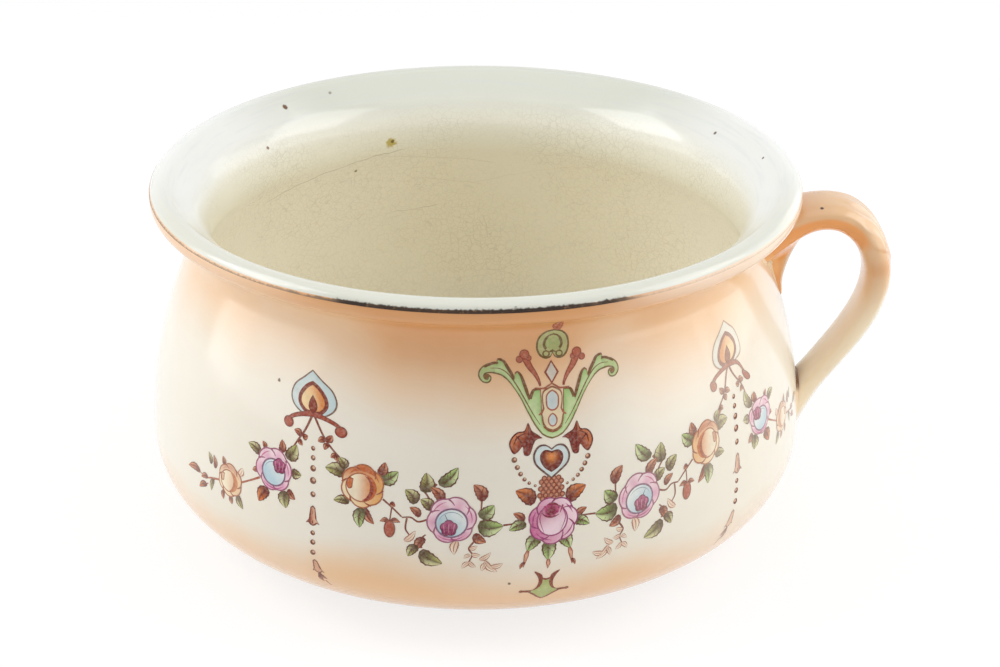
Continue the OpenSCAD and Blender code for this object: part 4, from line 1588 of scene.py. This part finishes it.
    rose_x, rose_y = 115.0, 16.2
    orange_rose(sheet, rose_x, rose_y, 6.2, 0.45)
    leaves = [
        (-4.6, 3.4, -6.2, 6.4, 2.4, PALE_LEAF),
        (3.0, 4.6, 3.8, 7.6, 2.2, BROWN_LEAF),
        (-4.0, -4.0, -6.4, -8.6, 2.8, OLIVE_LEAF),
        (-0.6, -5.6, -1.2, -8.6, 2.2, BROWN_LEAF),
        (3.4, -4.6, 3.4, -8.2, 2.0, BROWN_LEAF),
        (8.0, 1.6, 9.0, 6.2, 2.2, BROWN_LEAF),
        (10.4, 2.4, 12.0, 6.4, 2.2, OLIVE_LEAF),
        (9.0, -2.6, 10.4, -7.4, 2.2, OLIVE_LEAF),
        (12.4, -3.0, 16.6, -4.4, 2.2, BROWN_LEAF),
        (13.0, -6.0, 18.0, -8.8, 2.4, RUST_LEAF),
        (17.2, -2.8, 25.6, -3.6, 2.8, RUST_LEAF),
    ]
    sheet.spray(rose_x, rose_y, leaves)
    stem = [(5.4, -1.6), (10.0, -2.6), (13.6, -3.6), (18.0, -3.0)]
    sheet.stem(rose_x, rose_y, stem, 5, (0.8, 0.6, 0.4), RUST)
    sheet.ribbon([(rose_x + 8.0, rose_y - 2.2), (rose_x + 13.4, rose_y - 6.2)], (0.5, 0.4), RUST, 0)


def hanging_drop(sheet, x):
    """Palmette with two scrolls, the stems that carry the roses, and a drop of beads and husks."""
    base = 47.6
    # Painted light: on the right half the palmette is painted paler, where strong light falls on it.
    worn = 0.5 if sheet.side > 0 else 0.0
    dark, light = paint(128, 46, 30), paint(164, 72, 48)

    def raised(half):
        return upright([(a, base + b) for a, b in half], 4, x)

    def frost(a, b, share):
        sky = blend(paint(236, 240, 234), paint(196, 217, 219), ease(share - 0.1 + (x - a) * 0.03))
        return blend(sky, paint(248, 236, 214), worn)

    def flame(a, b, share):
        return blend(paint(250, 220, 166), paint(222, 136, 62), ease(0.2 + share * 0.5 + (x - a) * 0.12))

    band = [(0.0, 0.0), (4.2, 0.2), (7.6, 2.4), (8.7, 5.6), (7.2, 9.4), (3.4, 12.4), (0.0, 15.0)]
    line = blend(paint(124, 92, 74), paint(196, 150, 118), worn)
    sheet.blob(raised(band), 0.45, line, frost, 1, (x, base + 6))
    ring = [(0.0, 0.3), (3.4, 0.9), (5.7, 3.6), (5.3, 6.8), (2.8, 9.8), (0.0, 11.4)]
    sheet.blob(raised(ring), 1.3, paint(130, 50, 28), flame, 2, (x, base + 4.6))
    seed = [(0.0, 0.6), (1.6, 2.4), (1.5, 4.4), (0.0, 7.0)]
    sheet.blob(raised(seed), 0.35, paint(104, 36, 22), flat(paint(140, 52, 30)), 3, (x, base + 3.2))
    for way in (-1, 1):
        scroll = [(0.0, 0.8), (4.0, 0.0), (7.6, -1.2), (9.6, -2.6)]
        spots = [(x + a * way, base + b) for a, b in scroll]
        sheet.stroke(spots, 5, (2.3, 1.6, 1.4, 1.4), light, 3, dark, 0.3)
        knob = round_outline(x + 9.7 * way, base - 3.6, 2.0, 1.9, 18)
        sheet.blob(knob, 0.4, dark, to_rim(paint(178, 86, 60), light), 4)
    for spots in (
        [(0.4, 0.0), (3.0, -5.0), (6.2, -9.4), (8.6, -13.0)],
        [(-0.6, 0.0), (-3.6, -5.4), (-6.8, -9.6), (-10.4, -13.2)],
    ):
        sheet.stem(x, base, spots, 5, (0.9, 0.7, 0.6), BROWN)
    for bx, by, tx, ty, width in (
        (4.4, 7.2, 7.4, 5.8, 2.4),
        (4.2, 7.6, 2.0, 7.0, 2.2),
        (5.4, 8.6, 4.2, 10.6, 1.8),
        (-4.6, 7.0, -1.8, 8.0, 2.2),
        (-5.0, 7.4, -7.0, 5.2, 2.4),
        (-5.6, 8.2, -4.2, 10.4, 2.0),
        (-8.4, 11.4, -6.4, 12.6, 1.8),
        (-8.4, 11.4, -8.6, 13.6, 1.8),
    ):
        sheet.leaf(x + bx, base - by, x + tx, base - ty, width, BROWN_LEAF, 1)
    beads = [(36.9, 0.8), (33.7, 0.9), (30.1, 1.1), (25.9, 1.2), (21.1, 1.0)]
    beads += [(7.1, 0.9), (3.6, 1.0), (-0.4, 1.05)]
    for y, radius in beads:
        sheet.shaded_bead(x - 0.03 * max(0.0, 10 - y), y, radius)
    husk(sheet, x, 17.2, 10.4, 2.7)
    husk(sheet, x - 1.0, -3.2, -9.2, 2.3, 2.0)
    sheet.leaf(x - 3.0, -9.8, x - 6.4, -12.6, 1.8, BROWN_LEAF, 1)
    sheet.leaf(x - 3.4, -10.4, x - 5.6, -14.8, 1.5, BROWN_LEAF, 1)
    tail = [(x - 3.2, -10.2), (x - 6.4, -14.6), (x - 8.2, -17.0)]
    sheet.ribbon(tail, (0.8, 0.5, 0.2), paint(176, 104, 72), 1)


def husk(sheet, x, top, foot, half_w, lean=0.0):
    """Bell-shaped husk that hangs between the beads. Its foot swings by lean towards the middle."""
    tall = top - foot
    line = paint(122, 44, 28)
    side = [(0.0, top), (0.9, top - 0.12 * tall), (1.3, top - 0.5 * tall), (1.5, top - 0.75 * tall)]
    side += [(half_w, foot + 0.1), (half_w * 0.6, foot + 0.35)]
    side += [(0.35 * half_w, foot - 0.35), (0.0, foot - 0.7)]
    outline = []
    for a, b in side + [(-a, b) for a, b in side[::-1][1:-1]]:
        outline.append((x + a - lean * (top - b) / tall, b))

    def lit(a, b, share):
        return blend(paint(226, 172, 138), paint(148, 58, 38), ease(0.35 + 0.55 * (a - x)))

    sheet.blob(outline, 0.5, line, lit, 2, (x - 0.6 * lean, foot + 0.4 * tall))
    cleft = [(x - 0.3 * lean, top - 0.3 * tall), (x - 0.95 * lean, foot + 0.2)]
    sheet.ribbon(cleft, (0.1, 0.5), line, 3)


def half_ornament(sheet):
    """Half of the middle ornament. X grows away from its axis."""
    sheet.leaf(5.4, 21.5, 11.8, 26.0, 5.2, RUST_LEAF, 2)
    sheet.leaf(8.6, 15.4, 12.4, 18.2, 2.6, BROWN_LEAF, 1)
    sheet.leaf(8.0, 14.4, 13.6, 12.2, 3.8, GREEN_LEAF, 2)
    sheet.leaf(3.4, 9.8, 7.3, 4.4, 4.6, GREEN_LEAF, 2)
    sheet.ribbon([(7.0, 4.6), (7.5, 2.8), (8.3, -1.6)], (1.0, 1.7, 0.3), paint(226, 178, 146), 1, RUST)
    sheet.leaf(7.9, 0.4, 9.4, -2.2, 1.2, BROWN_LEAF, 1)
    beads = [(12.4, 36.0, 0.95), (11.4, 33.6, 0.85), (10.3, 31.5, 0.8)]
    beads += [(9.0, 29.7, 0.7), (7.4, 28.4, 0.6), (5.4, 27.4, 0.5)]
    for x, y, radius in beads:
        sheet.shaded_bead(x, y, radius)
    wing = [(3.2, 43.0), (5.6, 42.2), (7.2, 37.7), (9.2, 37.6), (9.6, 40.4), (11.2, 38.6), (12.8, 38.0)]
    wing += [(14.2, 41.0), (13.4, 43.6), (11.6, 45.2), (9.4, 45.6), (8.2, 48.2), (7.0, 45.6), (5.2, 44.4)]
    dark = paint(104, 30, 18)

    def ember(x, y, share):
        return blend(paint(134, 42, 24), paint(216, 128, 76), ease((x - 8.0) * 0.16 + (y - 42.5) * 0.1))

    sheet.blob(curve_through(wing + wing[:1], 3)[:-1], 0.5, dark, ember, 2, (8.6, 42.6))
    for spots in (
        [(8.2, 47.4), (8.0, 44.4), (8.4, 41.0), (8.2, 38.2)],
        [(9.0, 44.8), (11.6, 43.4), (12.6, 41.0)],
        [(9.8, 41.0), (10.6, 42.4), (12.0, 43.8)],
        [(6.8, 44.6), (6.6, 42.6), (7.4, 40.0)],
    ):
        sheet.stroke(spots, 4, (0.2, 0.6, 0.2), dark, 3)
    line, body = paint(152, 66, 44), paint(188, 104, 74)
    stem = [(3.9, 60.0), (4.3, 61.6), (5.5, 64.0), (7.3, 66.6), (8.6, 69.4)]
    sheet.stroke(stem, 5, (0.7, 1.0, 1.5, 2.1, 2.6), body, 2, line, 0.35)
    for x, y, radius in ((8.8, 70.4, 1.7), (10.5, 68.8, 1.2), (7.4, 69.2, 1.0)):
        sheet.blob(round_outline(x, y, radius, radius, 18), 0.35, line, flat(body), 3)
    acanthus(sheet)


def acanthus(sheet):
    """One arm of the leaf that opens from the middle: smooth outside, lobed inside, with a curled end."""
    pairs = [
        ((0.0, 42.7), (0.0, 45.2)), ((1.8, 43.2), (1.6, 45.7)), ((3.4, 44.1), (3.0, 47.0)),
        ((4.8, 45.6), (3.5, 49.4)), ((6.0, 47.3), (3.6, 52.4)), ((7.0, 49.0), (3.6, 55.6)),
        ((7.6, 50.2), (3.8, 59.2)), ((8.0, 51.0), (5.4, 59.2)), ((8.3, 51.5), (6.6, 58.7)),
        ((8.9, 52.8), (7.5, 55.9)), ((9.4, 53.8), (8.0, 58.0)), ((10.1, 55.3), (8.9, 60.8)),
        ((10.8, 56.6), (9.8, 63.2)), ((11.1, 57.1), (10.4, 64.6)), ((11.4, 57.6), (11.3, 65.2)),
        ((11.8, 58.3), (12.1, 64.6)), ((12.4, 59.2), (12.5, 62.4)), ((13.4, 60.6), (13.0, 64.4)),
        ((14.9, 62.3), (14.2, 66.6)), ((15.8, 63.0), (15.2, 68.2)), ((16.4, 63.4), (16.4, 69.2)),
        ((16.8, 63.6), (17.6, 69.2)), ((17.1, 63.7), (17.9, 68.4)), ((17.4, 63.8), (17.4, 67.6)),
        ((18.2, 64.0), (18.8, 67.9)), ((19.4, 64.2), (20.2, 67.4)),
    ]
    outer, inner = zip(*pairs)
    olive, brown = paint(122, 98, 48), paint(140, 80, 42)

    def green(s, v):
        return blend(paint(206, 226, 168), paint(152, 194, 112), ease(abs(v - 0.4) * 1.8))

    sheet.band(outer, inner, 0.5, olive, brown, green, 3)
    curl = [(18.6, 66.0), (20.6, 65.8), (22.4, 64.9), (23.1, 63.3)]
    curl += [(22.2, 61.9), (20.9, 61.8), (20.4, 62.9), (21.2, 63.6)]
    widths = (3.6, 3.2, 2.5, 2.0, 1.7, 1.4, 1.3, 1.1)
    sheet.stroke(curl, 5, widths, paint(186, 208, 142), 3.5, olive, 0.45)
    sheet.blob(round_outline(21.5, 63.2, 0.9, 0.9, 14), 0.4, olive, flat(paint(150, 96, 50)), 4)
    vein = [(4.2, 47.4), (6.6, 51.2), (9.0, 55.6), (11.4, 60.0), (14.2, 64.0), (17.0, 65.8), (20.0, 65.9)]
    sheet.stroke(vein, 4, (0.2, 0.45, 0.4, 0.15), olive, 4)
    for spots, widths in (
        ([(3.9, 59.0), (5.4, 59.0), (6.4, 58.4), (7.4, 56.0)], (0.4, 0.7, 1.0, 1.1)),
        ([(7.6, 55.8), (8.4, 58.4), (9.3, 61.2), (10.2, 63.6), (11.2, 64.9)], (0.7, 1.1, 1.1, 0.9, 0.5)),
        ([(12.5, 62.5), (13.3, 64.3), (14.6, 66.5), (15.6, 68.2), (17.4, 68.9)], (0.7, 1.1, 1.1, 0.9, 0.6)),
        ([(17.4, 67.7), (18.8, 67.6), (20.2, 67.1), (22.0, 66.1)], (0.5, 0.9, 0.8, 0.4)),
    ):
        sheet.stroke(spots, 4, widths, paint(122, 78, 34), 4.5)


def middle_ornament(sheet):
    """What lies on the axis of the print, from the leaf under the lip down to the finial at the base."""
    def glow(x, y, share):
        return blend(paint(236, 146, 70), paint(122, 38, 20), ease(math.hypot(x, y - 36.8) / 3.1))

    green = to_rim(paint(180, 186, 122), paint(190, 190, 128))
    sky = to_rim(paint(196, 210, 210), FROST, 0.4)
    ring = to_rim(paint(244, 244, 236), paint(208, 224, 224))
    grass = to_rim(paint(192, 204, 136), paint(172, 180, 100))
    olive, pinkish, rusty = paint(116, 92, 40), paint(172, 96, 70), paint(140, 62, 34)
    bud_x = 0.6
    bud = [(0.0, 70.6), (0.8, 69.2), (2.6, 68.8), (4.6, 70.0)]
    bud += [(5.6, 72.8), (5.0, 76.2), (2.8, 78.6), (0.0, 79.4)]
    sheet.blob(upright(bud, 4, bud_x), 0.6, olive, green, 1, (bud_x, 74))
    bud = [(0.0, 70.8), (1.2, 71.0), (2.6, 71.8), (3.4, 73.4), (2.9, 75.6), (1.6, 77.0), (0.0, 77.6)]
    sheet.blob(upright(bud, 4, bud_x), 0.9, olive, flat(paint(172, 186, 116)), 2, (bud_x, 74))
    for way in (-1, 1):
        volute = round_outline(bud_x + 2.2 * way, 70.4, 1.3, 1.2, 18)
        sheet.blob(volute, 0.5, olive, flat(paint(188, 190, 126)), 3)
        for spots, widths, layer in (
            ([(0.0, 60.8), (1.4, 59.9), (2.8, 59.2), (5.8, 59.4)], (0.5, 0.6, 0.6, 0.4), 5.5),
            ([(3.0, 52.6), (3.6, 51.4), (4.6, 50.6)], (0.4, 0.8, 0.3), 6),
        ):
            sheet.stroke([(a * way, b) for a, b in spots], 4, widths, pinkish, layer)
    sprig = (paint(206, 128, 92), paint(212, 138, 102), paint(184, 100, 66), paint(168, 84, 52))
    sheet.leaf(bud_x + 0.8, 79.0, bud_x + 2.0, 83.8, 3.6, sprig, 2)
    diamond = [(2.5, 64.4), (0.0, 68.4), (-2.5, 64.4), (0.0, 60.6)]
    sheet.blob(diamond, 0.75, paint(150, 70, 46), flat(paint(218, 212, 198)), 5)
    border = [(0.0, 60.0), (1.5, 59.4), (2.9, 58.5), (3.4, 57.0), (3.4, 54.4), (3.2, 52.6), (4.0, 51.2)]
    border += [(3.6, 49.6), (3.1, 47.4), (1.8, 45.8), (0.0, 45.2)]
    sheet.blob(upright(border, 3), 0.5, paint(150, 92, 58), flat(paint(236, 216, 178)), 5, (0, 52))
    window = [(0.0, 58.8), (1.3, 58.0), (2.2, 56.6), (2.2, 54.0), (1.8, 52.8), (0.9, 52.0), (0.0, 51.8)]
    sheet.blob(upright(window, 3), 0.5, pinkish, sky, 6, (0, 55))
    window = [(0.0, 51.2), (0.9, 50.6), (1.6, 49.4), (1.5, 47.9), (0.8, 46.9), (0.0, 46.6)]
    sheet.blob(upright(window, 3), 0.45, pinkish, sky, 6, (0, 49))
    heart = [(0.0, 29.4), (2.8, 31.6), (5.6, 34.4), (6.2, 37.6), (4.6, 40.4), (2.2, 40.9), (0.0, 39.6)]
    sheet.blob(upright(heart), 0.6, paint(104, 64, 52), ring, 4, (0, 36))
    heart = [(0.0, 31.6), (2.4, 33.2), (3.8, 35.6), (3.7, 37.8), (2.2, 39.1), (0.0, 38.7)]
    sheet.blob(upright(heart), 0.7, paint(106, 34, 18), glow, 5, (0, 36.4))
    for row in range(7):
        y = 29.6 - 1.15 * row
        for k in range(4 + row % 2):
            x = (k - (3 + row % 2) / 2) * (1.6 + 0.06 * row)
            scale = round_outline(x, y, 0.95, 1.0, 12)
            sheet.blob(scale, 0.45, paint(140, 66, 42), flat(paint(200, 128, 94)), 1 + row * 0.4)
    pink_rose(sheet, 1.0, 14.8, 8.6)
    sheet.leaf(0.0, 8.2, 0.0, 0.6, 4.8, GREEN_LEAF, 3, 0.0)
    sheet.ribbon([(0.0, 1.2), (0.1, -0.6), (0.0, -2.6)], (1.0, 1.6, 0.2), paint(226, 178, 146), 2, RUST)
    finial = [(0.0, -6.9), (1.2, -6.5), (2.1, -6.3), (2.1, -8.2), (2.6, -10.4), (3.8, -12.2)]
    finial += [(5.6, -13.2), (3.6, -15.2), (1.8, -17.2), (0.0, -18.7)]
    sheet.blob(upright(finial, 3), 0.75, rusty, grass, 2, (0, -12.2))
    for way in (-1, 1):
        for spots, widths in (
            ([(4.4, -13.1), (7.7, -12.9)], (1.3, 0.9)),
            ([(1.8, -8.0), (2.3, -5.6), (4.3, -3.6)], (1.2, 1.7, 0.3)),
            ([(1.9, -6.6), (1.8, -8.4), (2.3, -10.6), (3.6, -12.4)], (1.2, 1.4, 1.0, 0.3)),
        ):
            sheet.stroke([(a * way, b) for a, b in spots], 4, widths, rusty, 3)
        sheet.blob(round_outline(7.8 * way, -12.9, 0.75, 0.75, 12), 0.3, BROWN, flat(RUST), 4)


def draw_sheet():
    """The whole print. Its middle ornament was laid a little askew."""
    sheet = Sheet()
    sheet.tilt = ORNAMENT_TILT
    middle_ornament(sheet)
    for side in (-1, 1):
        sheet.side = side
        sheet.tilt = ORNAMENT_TILT
        half_ornament(sheet)
        sheet.tilt = 0.0
        swag(sheet)
    return sheet


def keep_colours(mesh, colours):
    """Keeps a colour on each point of a mesh."""
    kept = mesh.attributes.new("print_colour", "FLOAT_COLOR", "POINT")
    kept.data.foreach_set("color", [c for colour in colours for c in (*colour, 1.0)])


def sheet_objects(sheet, name):
    """The flat sheet and its bead points as seed objects."""
    faces = []
    for corners in sheet.faces:
        spots = [sheet.points[i] for i in corners]
        twice = sum(a[0] * b[1] - b[0] * a[1] for a, b in zip(spots, spots[1:] + spots[:1]))
        faces.append(corners if twice > 0 else corners[::-1])
    mesh = bpy.data.meshes.new(name)
    mesh.from_pydata(sheet.points, [], faces)
    keep_colours(mesh, sheet.colours)
    places, radii, colours = zip(*sheet.beads)
    beads = bpy.data.meshes.new(name + "_beads")
    beads.from_pydata([[c * MM for c in place] for place in places], [], [])
    sizes = beads.attributes.new("bead_r", "FLOAT", "POINT")
    sizes.data.foreach_set("value", [radius * MM for radius in radii])
    keep_colours(beads, colours)
    return link(bpy.data.objects.new(name, mesh)), link(bpy.data.objects.new(name + "_beads", beads))


def make_prints():
    """The same print on the front and on the back of the pot."""
    tree = wrapping_tree()
    profile = outside_profile()
    outside = profile_seed("outside_profile", profile)
    belly = profile[:BELLY_STEPS + 1]
    belly_length = sum(math.dist(a, b) for a, b in zip(belly, belly[1:]))
    sheet = draw_sheet()
    for name, angle in (("print_front", PRINT_ANGLE), ("print_back", PRINT_ANGLE + 180)):
        sheet_seed, beads = sheet_objects(sheet, name + "_sheet")
        inputs = {
            "Beads": beads,
            "Outside": outside,
            "Belly length": belly_length * MM,
            "Centre angle": math.radians(angle),
            "Climb": PRINT_CLIMB,
            "Lean": PRINT_LEAN,
            "Ink": INK,
        }
        piece = grown(name, sheet_seed, tree, inputs)
        remove(beads)
        finish_piece(piece, "cream_glaze")
    remove(outside)


# Studio

def softbox(name, place, width, height, power):
    """Soft lamp that is turned to the middle of the pot and is not seen itself."""
    lamp = bpy.data.lights.new(name, "AREA")
    lamp.shape = "RECTANGLE"
    lamp.size = width
    lamp.size_y = height
    lamp.energy = power
    box = link(bpy.data.objects.new(name, lamp))
    box.location = place
    box.rotation_euler = (POT_MIDDLE - Vector(place)).to_track_quat("-Z", "Y").to_euler()
    box.visible_camera = False


def background_share(tree):
    """1 where the background itself is seen, straight, mirrored or through something clear."""
    path = node(tree, "ShaderNodeLightPath").outputs
    mirrored = reckon(tree, "MAXIMUM", path["Is Glossy Ray"], path["Is Transmission Ray"])
    return reckon(tree, "MAXIMUM", path["Is Camera Ray"], mirrored)


def make_studio():
    """White surroundings, a white paper floor that keeps the pot's shadow, and the lamps."""
    world = bpy.data.worlds.new("studio")
    bpy.context.scene.world = world
    world.use_nodes = True
    tree = world.node_tree
    strength = times(tree, background_share(tree), 1.0 - WORLD_LIGHT, WORLD_LIGHT)
    fill(tree, tree.nodes["Background"], {"Color": (1, 1, 1, 1), "Strength": strength})

    mesh = bpy.data.meshes.new("floor")
    corners = [(-1, -1), (1, -1), (1, 1), (-1, 1)]
    mesh.from_pydata([(x * PAPER_HALF, y * PAPER_HALF, 0) for x, y in corners], [], [(0, 1, 2, 3)])
    material, tree, shader = new_material("white_paper")
    fill(tree, shader, {"Base Color": (0.9, 0.9, 0.9, 1), "Roughness": 0.9, "Specular IOR Level": 0.0})
    glow = node(tree, "ShaderNodeEmission", {"Color": (1, 1, 1, 1), "Strength": 1.1})
    seen = times(tree, background_share(tree), 0.72)
    both = node(tree, "ShaderNodeMixShader", {0: seen, 1: shader.outputs[0], 2: glow.outputs[0]})
    fill(tree, tree.nodes["Material Output"], {"Surface": both.outputs[0]})
    mesh.materials.append(material)
    link(bpy.data.objects.new("floor", mesh))
    for lamp in LAMPS:
        softbox(*lamp)


def make_camera():
    """The photograph's view: from the front, 25 degrees down, a metre away."""
    lens = bpy.data.cameras.new("camera")
    lens.sensor_width = 36.0
    lens.lens = 99.19
    lens.shift_x = 0.0242
    lens.shift_y = 0.004
    camera = link(bpy.data.objects.new("camera", lens))
    tilt = math.radians(25.0)
    camera.location = (0, -math.cos(tilt), 0.065 + math.sin(tilt))
    camera.rotation_euler = (math.pi / 2 - tilt, 0, 0)
    bpy.context.scene.camera = camera


bpy.context.scene.view_settings.view_transform = "Standard"
make_camera()
make_studio()
make_bowl()
make_rim_line()
upper_joint, lower_joint, handle_skin = make_handle()
make_luting("luting_upper", "upper_luting", upper_joint, handle_skin, 1.6, 0.0)
make_luting("luting_lower", "lower_luting", lower_joint, handle_skin, 1.0, 1.0)
make_prints()
